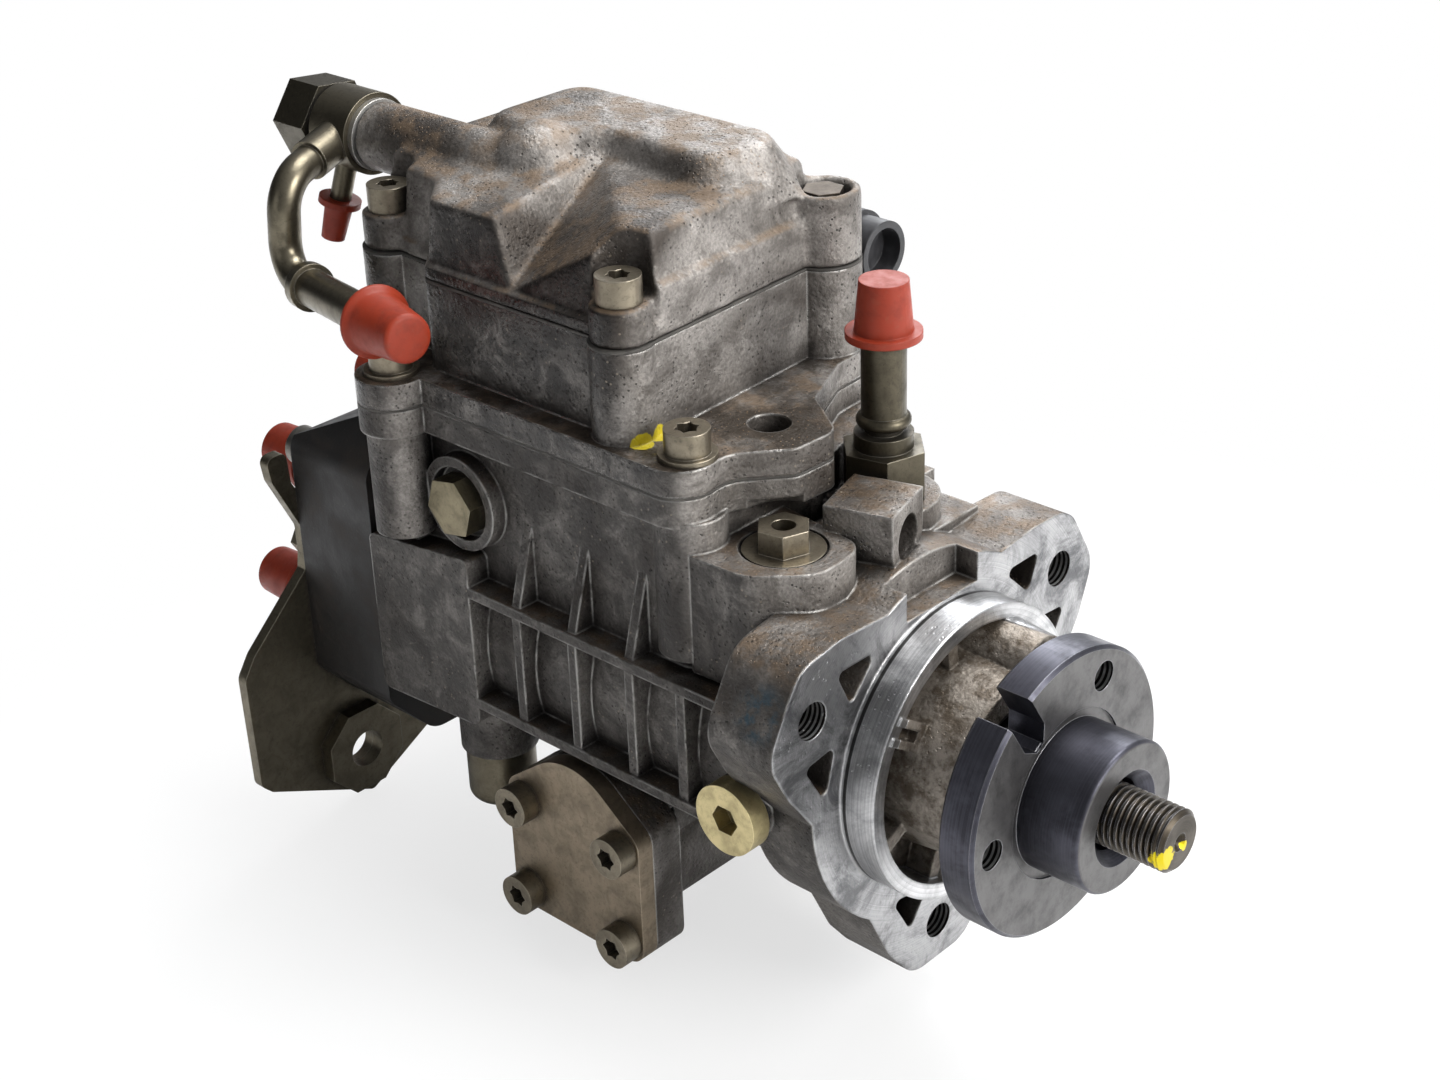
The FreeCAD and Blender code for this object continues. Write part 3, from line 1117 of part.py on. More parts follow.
def make_drive_shaft():
    large, small = taper_profile()
    claw_back = CLAW_FLANGE_X
    shapes = [rod_x(SHAFT_RADIUS, claw_back + CLAW_FLANGE_THICK - 1, HUB_BACK_X),
              Part.makeCone(large, small, THREAD_START_X - 1.5 - HUB_BACK_X, vec(HUB_BACK_X, 0, 0), X_AXIS),
              rod_x(THREAD_RADIUS - 0.8, THREAD_START_X - 2, THREAD_START_X + 3),
              rod_x(THREAD_RADIUS, THREAD_START_X + 3, SHAFT_TIP_X - 1),
              Part.makeCone(THREAD_RADIUS, THREAD_RADIUS - 1, 1, vec(SHAFT_TIP_X - 1, 0, 0), X_AXIS),
              rod_x(CLAW_FLANGE_RADIUS, claw_back, claw_back + CLAW_FLANGE_THICK)]
    half = CLAW_WIDTH / 2
    far_x = COUPLING_FRONT_X - COUPLING_LENGTH + 0.8
    for side in (-1, 1):
        y_low, y_high = sorted((side * CLAW_INNER, side * CLAW_OUTER))
        shapes.append(box(far_x, claw_back + 1, y_low, y_high, -half, half))
    solid = joined(shapes)
    middle = (HUB_BACK_X + THREAD_START_X) / 2
    slot = rod_y(KEY_RADIUS, -KEY_WIDTH / 2, KEY_WIDTH / 2, middle, SHAFT_RADIUS - 1.0)
    return solid.cut(slot)


def make_shaft_key():
    middle = (HUB_BACK_X + THREAD_START_X) / 2
    disc = rod_y(KEY_RADIUS - 0.05, -KEY_WIDTH / 2 + 0.02, KEY_WIDTH / 2 - 0.02, middle, SHAFT_RADIUS - 1.0)
    return disc.common(box(middle - 20, middle + 20, -5, 5, -5, SHAFT_RADIUS + 0.6))


def make_drive_hub():
    large, small = taper_profile()
    disc_front = HUB_BACK_X + HUB_DISC_THICK
    disc = rod_x(HUB_DISC_RADIUS, HUB_BACK_X, disc_front)
    rim_edges = [edge for edge in disc.Edges if len(edge.Vertexes) == 1 or edge.Curve.TypeId == "Part::GeomCircle"]
    disc = disc.makeChamfer(0.8, [edge for edge in rim_edges if edge.BoundBox.XLength < 0.1])
    nose = rod_x(HUB_NOSE_RADIUS, disc_front - 1, HUB_NOSE_X)
    front = [edge for edge in nose.Edges if edge.BoundBox.XLength < 0.1 and edge.BoundBox.XMax > HUB_NOSE_X - 0.1]
    nose = nose.makeFillet(1.0, front)
    relief = tube_x(HUB_NOSE_RADIUS + 2.2, HUB_NOSE_RADIUS, disc_front - 0.7, disc_front + 1)
    solid = joined([disc, nose]).cut(relief)
    taper_end = THREAD_START_X - 1.5
    cuts = [Part.makeCone(large + 0.02, small + 0.02, taper_end - HUB_BACK_X, vec(HUB_BACK_X, 0, 0), X_AXIS),
            rod_x(HUB_FRONT_BORE_RADIUS, taper_end, HUB_NOSE_X + 1),
            rod_x(large + 0.02, HUB_BACK_X - 1, HUB_BACK_X),
            Part.makeCone(HUB_FRONT_BORE_RADIUS, HUB_FRONT_BORE_RADIUS + HUB_FRONT_CHAMFER,
                          HUB_FRONT_CHAMFER, vec(HUB_NOSE_X - HUB_FRONT_CHAMFER + 0.6, 0, 0), X_AXIS)]
    for index in range(HUB_HOLE_COUNT):
        angle = HUB_FIRST_HOLE_ANGLE + index * 360.0 / HUB_HOLE_COUNT
        hole = on_circle(HUB_BACK_X - 1, HUB_HOLE_CIRCLE, angle)
        cuts.append(Part.makeCylinder(HUB_HOLE_RADIUS, HUB_DISC_THICK + 2, hole, X_AXIS))
    half = HUB_NOTCH_WIDTH / 2
    inner = HUB_DISC_RADIUS - HUB_NOTCH_DEPTH
    notch = Part.Face(Part.makePolygon([
        vec(HUB_BACK_X - 1, inner, -1.2), vec(HUB_BACK_X - 1, inner + 4, -half),
        vec(HUB_BACK_X - 1, HUB_DISC_RADIUS + 3, -half), vec(HUB_BACK_X - 1, HUB_DISC_RADIUS + 3, half),
        vec(HUB_BACK_X - 1, inner + 4, half), vec(HUB_BACK_X - 1, inner, 1.2),
        vec(HUB_BACK_X - 1, inner, -1.2)])).extrude(vec(HUB_DISC_THICK + 2, 0, 0))
    cuts.append(turned(notch, HUB_NOTCH_ANGLE))
    middle = (HUB_BACK_X + THREAD_START_X) / 2
    cuts.append(box(HUB_BACK_X - 1, middle + 7.5, -KEY_WIDTH / 2 - 0.03, KEY_WIDTH / 2 + 0.03,
                    0, SHAFT_RADIUS + 0.8))
    return less(solid, cuts)


def make_vane_rotor():
    back = VANE_FRONT_X - VANE_WIDTH
    rotor = rod_x(ROTOR_RADIUS, back + 0.1, VANE_FRONT_X - 0.1)
    cuts = [rod_x(SHAFT_RADIUS + 0.02, back - 1, VANE_FRONT_X + 1)]
    half = VANE_THICK / 2 + 0.03
    for index in range(VANE_COUNT):
        slot = box(back - 1, VANE_FRONT_X + 1, ROTOR_RADIUS - VANE_LENGTH - 0.4, ROTOR_RADIUS + 2, -half, half)
        cuts.append(turned(slot, index * 360.0 / VANE_COUNT))
    return less(rotor, cuts)


def make_vanes():
    """The vanes as they lie in the stopped pump, slid in until they clear the eccentric ring."""
    back = VANE_FRONT_X - VANE_WIDTH
    shapes = []
    for index in range(VANE_COUNT):
        vane = box(back + 0.2, VANE_FRONT_X - 0.2, ROTOR_RADIUS - VANE_LENGTH, ROTOR_RADIUS - 0.1,
                   -VANE_THICK / 2, VANE_THICK / 2)
        shapes.append(turned(vane, index * 360.0 / VANE_COUNT))
    return Part.makeCompound(shapes)


def make_eccentric_ring():
    back = VANE_FRONT_X - VANE_WIDTH
    ring = rod_x(VANE_BORE_RADIUS - CLEAR_GAP, back, VANE_FRONT_X)
    return ring.cut(rod_x(ECCENTRIC_BORE_RADIUS, back - 1, VANE_FRONT_X + 1, ECCENTRIC_OFFSET, 0))


def make_vane_pump_plate():
    back = VANE_FRONT_X - VANE_WIDTH
    return tube_x(RING_BORE_RADIUS - CLEAR_GAP, SHAFT_RADIUS + CLEAR_GAP, back - PLATE_THICK, back)


def make_cross_coupling():
    back = COUPLING_FRONT_X - COUPLING_LENGTH
    disc = rod_x(COUPLING_RADIUS, back, COUPLING_FRONT_X)
    half = COUPLING_SLOT_WIDTH / 2
    slots = []
    for index in range(4):
        slot = box(back - 1, COUPLING_FRONT_X + 1, CLAW_INNER - CLEAR_GAP, COUPLING_RADIUS + 2, -half, half)
        slots.append(turned(slot, 90.0 * index))
    return less(disc, slots)


def cam_valley_x():
    """Where the cam plate's lower face lies when a roller rests part way up a lobe."""
    inner = ROLLER_MEAN_RADIUS - ROLLER_LENGTH / 2
    side = inner * math.sin(math.radians(ROLLER_LEAD_ANGLE))
    reach = CAM_LOBE_RADIUS + ROLLER_RADIUS + CLEAR_GAP
    height = math.sqrt(reach * reach - side * side)
    return roller_axis_x() - height + (CAM_LOBE_RADIUS - CAM_LIFT)


def roller_axis_x():
    return ROLLER_RING_REAR_X + 0.6


def ring_pin_angle():
    return ROLLER_LEAD_ANGLE


def make_roller_ring():
    ring = tube_x(RING_BORE_RADIUS - RUNNING_GAP, ROLLER_RING_INNER, ROLLER_RING_REAR_X, ROLLER_RING_FRONT_X)
    cuts = [rod_z(TIMING_PIN_RADIUS + 0.03, -40, -19, TIMING_X, 0)]
    x = roller_axis_x()
    half = ROLLER_LENGTH / 2 + 0.5
    for index in range(OUTLET_COUNT):
        pocket = box(x - 9, x + ROLLER_RADIUS + 0.4, ROLLER_MEAN_RADIUS - half, ROLLER_MEAN_RADIUS + half,
                     -ROLLER_RADIUS - 0.4, ROLLER_RADIUS + 0.4)
        pin_hole = rod_y(ROLLER_PIN_RADIUS + 0.02, ROLLER_RING_INNER - 1, RING_BORE_RADIUS + 1, x, 0)
        angle = ring_pin_angle() + index * 360.0 / OUTLET_COUNT
        cuts += [turned(pocket, angle), turned(pin_hole, angle)]
    return less(ring, cuts)


def make_rollers():
    """The cam rollers, each with the pin that it runs on."""
    x = roller_axis_x()
    half = ROLLER_LENGTH / 2
    shapes = []
    for index in range(OUTLET_COUNT):
        angle = ring_pin_angle() + index * 360.0 / OUTLET_COUNT
        roller = rod_y(ROLLER_RADIUS, ROLLER_MEAN_RADIUS - half, ROLLER_MEAN_RADIUS + half, x, 0)
        roller = roller.cut(rod_y(ROLLER_PIN_RADIUS + 0.05, 0, 60, x, 0))
        pin = rod_y(ROLLER_PIN_RADIUS, ROLLER_RING_INNER + 0.4, RING_BORE_RADIUS - 0.5, x, 0)
        shapes += [turned(roller, angle), turned(pin, angle)]
    return Part.makeCompound(shapes)


def make_cam_plate():
    valley = cam_valley_x()
    back = valley - CAM_THICK
    disc = rod_x(CAM_RADIUS, back, valley)
    hub = rod_x(13.5, valley - 1, COUPLING_FRONT_X - COUPLING_LENGTH - 3.5)
    lobe_band = tube_x(CAM_RADIUS - 1.5, ROLLER_RING_INNER - 0.2, valley - 1, valley + CAM_LIFT + 1)
    shapes = [disc, hub]
    depth = CAM_LOBE_RADIUS - CAM_LIFT
    for index in range(OUTLET_COUNT):
        lobe = rod_y(CAM_LOBE_RADIUS, 5, CAM_RADIUS + 5, valley - depth, 0).common(lobe_band)
        shapes.append(turned(lobe, index * 360.0 / OUTLET_COUNT))
    half = CLAW_WIDTH / 2
    for side in (-1, 1):
        z_low, z_high = sorted((side * CLAW_INNER, side * (CLAW_OUTER - 0.6)))
        shapes.append(box(valley, COUPLING_FRONT_X - 1.5, -half, half, z_low, z_high))
    solid = joined(shapes)
    return solid.cut(rod_x(PLUNGER_RADIUS + 0.02, back - 1, back + 4))


def plunger_foot_x():
    return cam_valley_x() - CAM_THICK


def make_plunger():
    foot = plunger_foot_x()
    shapes = [rod_x(PLUNGER_RADIUS, PLUNGER_END_X, foot + 3.8),
              rod_x(PLUNGER_FOOT_RADIUS, foot - PLUNGER_FOOT_THICK, foot)]
    return joined(shapes).cut(rod_x(1.5, PLUNGER_END_X - 1, PLUNGER_END_X + 40))


def make_spring_bridge():
    foot = plunger_foot_x() - PLUNGER_FOOT_THICK - 0.1
    outline = [(-SPRING_SPACING - 6.5, -6, 5), (SPRING_SPACING + 6.5, -6, 5),
               (SPRING_SPACING + 6.5, 6, 5), (-SPRING_SPACING - 6.5, 6, 5)]
    bar = joined([plate_x(outline, foot - BRIDGE_THICK, foot), rod_x(11, foot - BRIDGE_THICK, foot)])
    return bar.cut(rod_x(PLUNGER_RADIUS + CLEAR_GAP, foot - 10, foot + 1))


def make_plunger_springs():
    start_x = REAR_FACE_X + 8.3
    end_x = plunger_foot_x() - PLUNGER_FOOT_THICK - 0.1 - BRIDGE_THICK - 0.3
    length = end_x - start_x
    return Part.makeCompound([coil_spring(vec(start_x, side * SPRING_SPACING, 0), X_AXIS, length,
                                          SPRING_COIL_RADIUS, SPRING_WIRE / 2, 5)
                              for side in (-1, 1)])


def eccentric_ball_place():
    """Centre of the ball in plan with the actuator at its rest stop."""
    turn = math.radians(-ACTUATOR_SWING / 2)
    return ACTUATOR_X - ECCENTRIC_THROW * math.sin(turn), ECCENTRIC_THROW * math.cos(turn)


def make_control_collar():
    half = COLLAR_LENGTH / 2
    centre_x = eccentric_ball_place()[0]
    ring = rod_x(COLLAR_RADIUS, centre_x - half, centre_x + half)
    slot_half = ECCENTRIC_BALL_RADIUS + CLEAR_GAP
    return less(ring, [rod_x(PLUNGER_RADIUS + RUNNING_GAP, -200, 0),
                       box(centre_x - slot_half, centre_x + slot_half, -14, 14, 8.5, 14)])


def make_actuator_shaft():
    """The actuator's rotor on its upright shaft, with the eccentric ball that moves the collar."""
    ball_x, ball_y = eccentric_ball_place()
    shapes = [rod_z(3.5, 20, 86, ACTUATOR_X, 0), rod_z(5.0, 16.5, 21, ACTUATOR_X, 0),
              rod_z(1.8, 12, 17, ball_x, ball_y),
              Part.makeSphere(ECCENTRIC_BALL_RADIUS, vec(ball_x, ball_y, 11.8))]
    rotor = rod_z(10.5, 66, 80, ACTUATOR_X, 0)
    rotor = rotor.common(box(ACTUATOR_X - 12, ACTUATOR_X + 12, -6.5, 6.5, 60, 90))
    return joined(shapes + [rotor])


def make_actuator_core():
    """The magnet core round the rotor, its coil beside it."""
    low = DECK_Z + GASKET_THICK + 3.4
    core = box(ACTUATOR_X - 19, ACTUATOR_X + 40, -15, 15, low, low + 16)
    cuts = [rod_z(11.2, low - 1, low + 20, ACTUATOR_X, 0),
            box(ACTUATOR_X - 20, ACTUATOR_X + 1, -4, 4, low - 1, low + 20)]
    coil = plate_z(rounded_rectangle(ACTUATOR_X + 16, ACTUATOR_X + 38, -21, 21, 6), low + 1, low + 15)
    return less(joined([core, coil]), cuts)


def make_position_sensor():
    low = DECK_Z + GASKET_THICK + 3.4 + 17.5
    ring = plate_z(rounded_rectangle(ACTUATOR_X - 16, ACTUATOR_X + 20, -17, 17, 6), low, low + 7)
    return ring.cut(rod_z(4.5, low - 1, low + 9, ACTUATOR_X, 0))


def make_connector():
    """The moulded plug housing on the far wall of the actuator housing."""
    wall = WALL_RIGHT_Y + 3
    elbow = rod_y(6.5, wall, 51, -78, 82)
    body = rod_x(7.5, -86, -57, 50, 84)
    collar = rod_x(8.6, -68, -64, 50, 84)
    flange = plate_y([(-85, 76.5, 3), (-71, 76.5, 3), (-71, 87, 3), (-85, 87, 3)], wall, wall + 3)
    solid = joined([elbow, body, collar, flange])
    return solid.cut(rod_x(5.8, -62, -56, 50, 84))


PARTS = {
    "pump_housing": make_pump_housing,
    "actuator_housing": make_actuator_housing,
    "actuator_gasket": make_actuator_gasket,
    "top_cover": make_top_cover,
    "cover_gasket": make_cover_gasket,
    "cover_screws": make_cover_screws,
    "cover_hex_bolt": make_cover_hex_bolt,
    "actuator_screws": make_actuator_screws,
    "distributor_head": make_distributor_head,
    "head_screws": make_head_screws,
    "delivery_valve_holders": make_delivery_holders,
    "delivery_valves": make_delivery_valves,
    "delivery_valve_springs": make_delivery_springs,
    "delivery_caps": make_delivery_caps,
    "central_plug": make_central_plug,
    "shutoff_solenoid": make_shutoff_solenoid,
    "shutoff_armature": make_shutoff_armature,
    "support_bracket": make_support_bracket,
    "bracket_nut": make_bracket_nut,
    "bracket_screws": make_bracket_screws,
    "banjo_bolt": make_banjo_bolt,
    "banjo_washers": make_banjo_washers,
    "return_pipe": make_return_pipe,
    "return_pipe_cap": make_return_pipe_cap,
    "nipple_cap": make_nipple_cap,
    "inlet_fitting": make_inlet_fitting,
    "inlet_cap": make_inlet_cap,
    "pressure_valve": make_pressure_valve,
    "pressure_valve_piston": make_pressure_valve_piston,
    "side_hex_bolt": make_side_hex_bolt,
    "locking_plug": make_locking_plug,
    "timing_cover_near": lambda: make_timing_cover(-1),
    "timing_cover_far": lambda: make_timing_cover(1),
    "timing_cover_screws": make_timing_screws,
    "timing_piston": make_timing_piston,
    "timing_spring": make_timing_spring,
    "timing_pin": make_timing_pin,
    "timing_solenoid": make_timing_solenoid,
    "front_bearing": make_front_bearing,
    "shaft_seal": make_shaft_seal,
    "drive_shaft": make_drive_shaft,
    "shaft_key": make_shaft_key,
    "drive_hub": make_drive_hub,
    "vane_rotor": make_vane_rotor,
    "vanes": make_vanes,
    "eccentric_ring": make_eccentric_ring,
    "vane_pump_plate": make_vane_pump_plate,
    "cross_coupling": make_cross_coupling,
    "roller_ring": make_roller_ring,
    "rollers": make_rollers,
    "cam_plate": make_cam_plate,
    "plunger": make_plunger,
    "spring_bridge": make_spring_bridge,
    "plunger_springs": make_plunger_springs,
    "control_collar": make_control_collar,
    "actuator_shaft": make_actuator_shaft,
    "actuator_core": make_actuator_core,
    "position_sensor": make_position_sensor,
    "electrical_connector": make_connector,
}


def main():
    os.makedirs("parts", exist_ok=True)
    for name, maker in PARTS.items():
        shape = maker()
        solids = len(shape.Solids)
        print(f"{name}: solids {solids}, valid {shape.isValid()}, volume {shape.Volume:.0f}")
        shape.exportStep(f"parts/{name}.step")


main()
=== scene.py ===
import math

import bmesh
import bpy
from bpy.props import FloatProperty, FloatVectorProperty, IntProperty, PointerProperty
from mathutils import Matrix, Vector
from mathutils.kdtree import KDTree


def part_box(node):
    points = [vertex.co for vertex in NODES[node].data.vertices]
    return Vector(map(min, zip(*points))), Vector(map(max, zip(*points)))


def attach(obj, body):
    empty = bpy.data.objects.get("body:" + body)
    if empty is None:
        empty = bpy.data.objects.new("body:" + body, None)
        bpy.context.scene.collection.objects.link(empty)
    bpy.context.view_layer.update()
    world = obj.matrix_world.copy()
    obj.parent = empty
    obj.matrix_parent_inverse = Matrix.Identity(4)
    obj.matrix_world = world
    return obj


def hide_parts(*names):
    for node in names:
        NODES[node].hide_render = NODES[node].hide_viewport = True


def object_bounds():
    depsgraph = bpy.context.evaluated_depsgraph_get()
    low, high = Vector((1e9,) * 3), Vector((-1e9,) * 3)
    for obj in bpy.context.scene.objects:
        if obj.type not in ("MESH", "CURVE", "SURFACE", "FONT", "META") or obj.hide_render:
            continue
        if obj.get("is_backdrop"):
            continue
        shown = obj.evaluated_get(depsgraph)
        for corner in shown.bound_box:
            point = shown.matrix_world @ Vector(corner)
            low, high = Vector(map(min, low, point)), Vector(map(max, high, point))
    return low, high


bl_info = {
    "name": "Diesel injection pump",
    "version": (1, 0, 0),
    "blender": (4, 5, 0),
    "location": "3D View > Sidebar > Pump",
    "description": "Dresses the packed pump with its castings, plating, caps and studio",
    "category": "Object",
}

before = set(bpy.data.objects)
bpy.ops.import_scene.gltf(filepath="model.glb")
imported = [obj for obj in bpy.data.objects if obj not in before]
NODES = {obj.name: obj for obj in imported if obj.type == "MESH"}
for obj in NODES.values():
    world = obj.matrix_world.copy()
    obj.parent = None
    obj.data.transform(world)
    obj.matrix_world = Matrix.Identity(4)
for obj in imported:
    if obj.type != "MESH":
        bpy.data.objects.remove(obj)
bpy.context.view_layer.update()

# Places on the pump, in metres along the frame's axes, turns in degrees about the drive axis

FLANGE_HOLES = {"circle": 0.0488, "first_turn": 30.0, "radius": 0.0042, "bottom": -0.0124}
HUB_HOLES = {"circle": 0.0260, "first_turn": 64.0, "radius": 0.0034, "bottom": 0.0200}
HOLE_THREAD_PITCH = 0.00125
RING_INNER = 0.0300
RING_OUTER = 0.0344
THREAD_START = 0.0437
THREAD_END = 0.0602
THREAD_CREST = 0.0070
SHAFT_TIP = 0.0612
LID_SHOULDER = 0.0935
PIPE_RUN = (Vector((-0.167, -0.0375, 0.079)), Vector((-0.118, -0.0495, 0.0828)))
DECK_PAINT = (((-0.0536, -0.0340, 0.0671), 0.0026), ((-0.0540, -0.0290, 0.0671), 0.0026))
SHAFT_PAINT = (((0.0604, -0.0048, -0.0015), 0.0034), ((0.0612, 0.0016, -0.0016), 0.0013))
FLANGE_STAINS = (((-0.0060, -0.0521, 0.0284), 0.0080),)

# The photograph's viewpoint and frame

VIEW_AZIMUTH = math.radians(43.81194)
VIEW_ELEVATION = math.radians(27.48111)
VIEW_ROLL = math.radians(-2.00046)
FRAME_WIDTH = 1440
FRAME_HEIGHT = 1080
FLANGE_CENTRE_ACROSS = 940.7414
FLANGE_CENTRE_DOWN = 737.9550
SENSOR_WIDTH = 36.0


# Settings that a user may change

def colour(name, words, value):
    return FloatVectorProperty(name=name, description=words, subtype="COLOR", size=3, min=0, max=1,
                               default=value)


def length(name, words, value):
    return FloatProperty(name=name, description=words, unit="LENGTH", subtype="DISTANCE", min=0,
                         default=value)


class PumpColours(bpy.types.PropertyGroup):
    bare_cast: colour("Bare cast aluminium", "Cleanest skin of the castings", (0.30, 0.28, 0.26))
    grimy_cast: colour("Grimy cast aluminium", "Castings where oil has dried", (0.052, 0.043, 0.036))
    dust: colour("Road dust", "Brown dust lying on upward faces", (0.17, 0.115, 0.070))
    # The old oil colour also serves as painted shade in corners, on the near walls, in thread roots and in the
    # ring's groove, and for darkening towards the bottom
    oil_and_shade: colour("Old oil", "Dark oil in corners and low down", (0.011, 0.009, 0.008))
    turned: colour("Turned aluminium", "Machined ring and flange face", (0.60, 0.60, 0.605))
    head: colour("Head coating", "Nearly black distributor head", (0.010, 0.009, 0.009))
    gunmetal: colour("Gunmetal", "Drive hub", (0.060, 0.060, 0.074))
    steel: colour("Bare steel", "Shaft and inner steel pieces", (0.30, 0.28, 0.25))
    oily_steel: colour("Oily steel", "Bare end of the shaft", (0.060, 0.050, 0.038))
    plating: colour("Zinc plating", "Olive-gold plating of pipes and plugs", (0.165, 0.145, 0.105))
    screws: colour("Screw plating", "Dull plating of the small screws", (0.23, 0.20, 0.15))
    caps: colour("Cap plastic", "Soft red protective caps", (0.225, 0.024, 0.008))
    moulding: colour("Black moulding", "Electrical connector", (0.014, 0.014, 0.016))
    paint_mark: colour("Inspection mark", "Yellow paint dabs", (0.52, 0.42, 0.015))


class PumpSizes(bpy.types.PropertyGroup):
    edge_round: length("Edge rounding", "Radius that softens cast edges", 0.0009)
    machined_round: length("Machined edge rounding", "Radius that softens machined edges", 0.0003)
    thread_pitch: length("Thread pitch", "Pitch of the shaft's thread", 0.0015)
    thread_depth: length("Thread depth", "Depth of the shaft's thread", 0.0009)
    lens: FloatProperty(name="Lens", description="Camera lens in millimetres", unit="CAMERA", min=10,
                        default=59.1475)
    aim_distance: length("Camera distance", "From the camera to the flange's centre", 0.5154)
    bolt_head: length("Ring bolt's head", "Height of the hex part of the bolt in the lid's ring", 0.0035)
    bolt_lift: length("Ring bolt's lift", "How much taller that head is than the plain CAD head", 0.0032)
    lid_detail: length("Lid detail", "Finest detail kept on the cast lid", 0.0007)
    thread_sides: IntProperty(name="Thread sides", description="Steps round the thread", min=24, default=72)


def colours():
    return bpy.context.scene.pump_colours


def sizes():
    return bpy.context.scene.pump_sizes


# Node-tree helpers

class Recipe:
    """One material's node tree, with short calls for its usual steps."""

    def __init__(self, name):
        self.material = bpy.data.materials.new(name)
        self.material.use_nodes = True
        self.tree = self.material.node_tree
        self.tree.nodes.clear()
        self.output = self.tree.nodes.new("ShaderNodeOutputMaterial")
        places = self.put("ShaderNodeTexCoord").outputs
        self.place = places["Object"]
        self.facing = places["Normal"]

    def put(self, kind, inputs=None, **settings):
        made = self.tree.nodes.new(kind)
        for key, value in settings.items():
            setattr(made, key, value)
        for key, value in (inputs or {}).items():
            if isinstance(value, bpy.types.NodeSocket):
                self.tree.links.new(value, made.inputs[key])
            elif value is not None:
                made.inputs[key].default_value = value
        return made

    def math(self, operation, a, b=None, clamp=False):
        return self.put("ShaderNodeMath", {0: a, 1: b}, operation=operation, use_clamp=clamp).outputs[0]

    def times(self, a, b):
        return self.math("MULTIPLY", a, b)

    def plus(self, a, b):
        return self.math("ADD", a, b)

    def blend(self, factor, a, b):
        """From colour a to colour b by the factor."""
        made = self.put("ShaderNodeMix", {"Factor": factor}, data_type="RGBA", clamp_factor=True)
        for index, value in ((6, a), (7, b)):
            if isinstance(value, bpy.types.NodeSocket):
                self.tree.links.new(value, made.inputs[index])
            else:
                made.inputs[index].default_value = (*value[:3], 1)
        return made.outputs[2]

    def lay(self, base, mask, share, tint):
        """A tint laid over the base where the mask is, as strong as the share."""
        return self.blend(self.times(mask, share), base, tint)

    def level(self, value, low, high, out_low=0.0, out_high=1.0):
        """Soft step from low to high, which may also fall."""
        made = self.put("ShaderNodeMapRange", {"Value": value, "From Min": low, "From Max": high,
                                               "To Min": out_low, "To Max": out_high})
        made.interpolation_type = "SMOOTHSTEP"
        return made.outputs[0]

    def between(self, value, low, high, soft):
        """High from low to high, with soft rims."""
        return self.times(self.level(value, low - soft, low + soft),
                          self.level(value, high + soft, high - soft))

    def noise(self, scale, detail=4.0, rough=0.55, distort=0.0):
        return self.put("ShaderNodeTexNoise", {"Vector": self.place, "Scale": scale, "Detail": detail,
                                               "Roughness": rough, "Distortion": distort}).outputs[0]

    def patches(self, scale, detail, rough, low, high):
        """Noise cut to patches with soft rims."""
        return self.level(self.noise(scale, detail, rough), low, high)

    def cells(self, scale):
        return self.put("ShaderNodeTexVoronoi", {"Vector": self.place, "Scale": scale}).outputs["Distance"]

    def axis(self, name, source=None):
        return self.put("ShaderNodeSeparateXYZ", {0: source or self.place}).outputs[name]

    def distance(self, point, source=None):
        """Distance from a point in the pump's own frame."""
        return self.put("ShaderNodeVectorMath", {0: source or self.place, 1: point},
                        operation="DISTANCE").outputs["Value"]

    def off_axis(self):
        """Distance from the drive axis."""
        y = self.axis("Y")
        z = self.axis("Z")
        return self.math("SQRT", self.plus(self.times(y, y), self.times(z, z)))

    def rounded(self, radius, samples=6):
        return self.put("ShaderNodeBevel", {"Radius": radius}, samples=samples).outputs[0]

    def worn_edges(self, soft_normal):
        """Bright where the softened normal leaves the true one."""
        true = self.put("ShaderNodeNewGeometry").outputs["Normal"]
        dot = self.put("ShaderNodeVectorMath", {0: soft_normal, 1: true}, operation="DOT_PRODUCT")
        return self.level(dot.outputs["Value"], 0.997, 0.90)

    def corners(self, reach, samples=4):
        """High in corners and pockets."""
        made = self.put("ShaderNodeAmbientOcclusion", {"Distance": reach}, samples=samples)
        return self.math("SUBTRACT", 1.0, made.outputs["AO"], clamp=True)

    def bump(self, height, strength, distance, normal=None):
        return self.put("ShaderNodeBump", {"Height": height, "Strength": strength, "Distance": distance,
                                           "Normal": normal}).outputs[0]

    def shade(self, base, metallic, roughness, normal=None, **constants):
        made = self.put("ShaderNodeBsdfPrincipled", {"Base Color": base, "Metallic": metallic,
                                                     "Roughness": roughness, "Normal": normal})
        for key, value in constants.items():
            made.inputs[key.replace("_", " ")].default_value = value
        self.tree.links.new(made.outputs[0], self.output.inputs[0])
        return self.material


def scaled(tint, factor, lift=0.0):
    """A colour made darker or lighter."""
    return tuple(min(1.0, factor * value + lift) for value in tint)


def dab(recipe, point, radius, ragged=0.35):
    """A brushed dab of paint round a point, with a ragged rim."""
    reach = recipe.math("DIVIDE", recipe.distance(point), radius)
    return recipe.level(recipe.plus(reach, recipe.times(recipe.noise(900, 3), ragged)), 1.25, 1.12)


# Materials

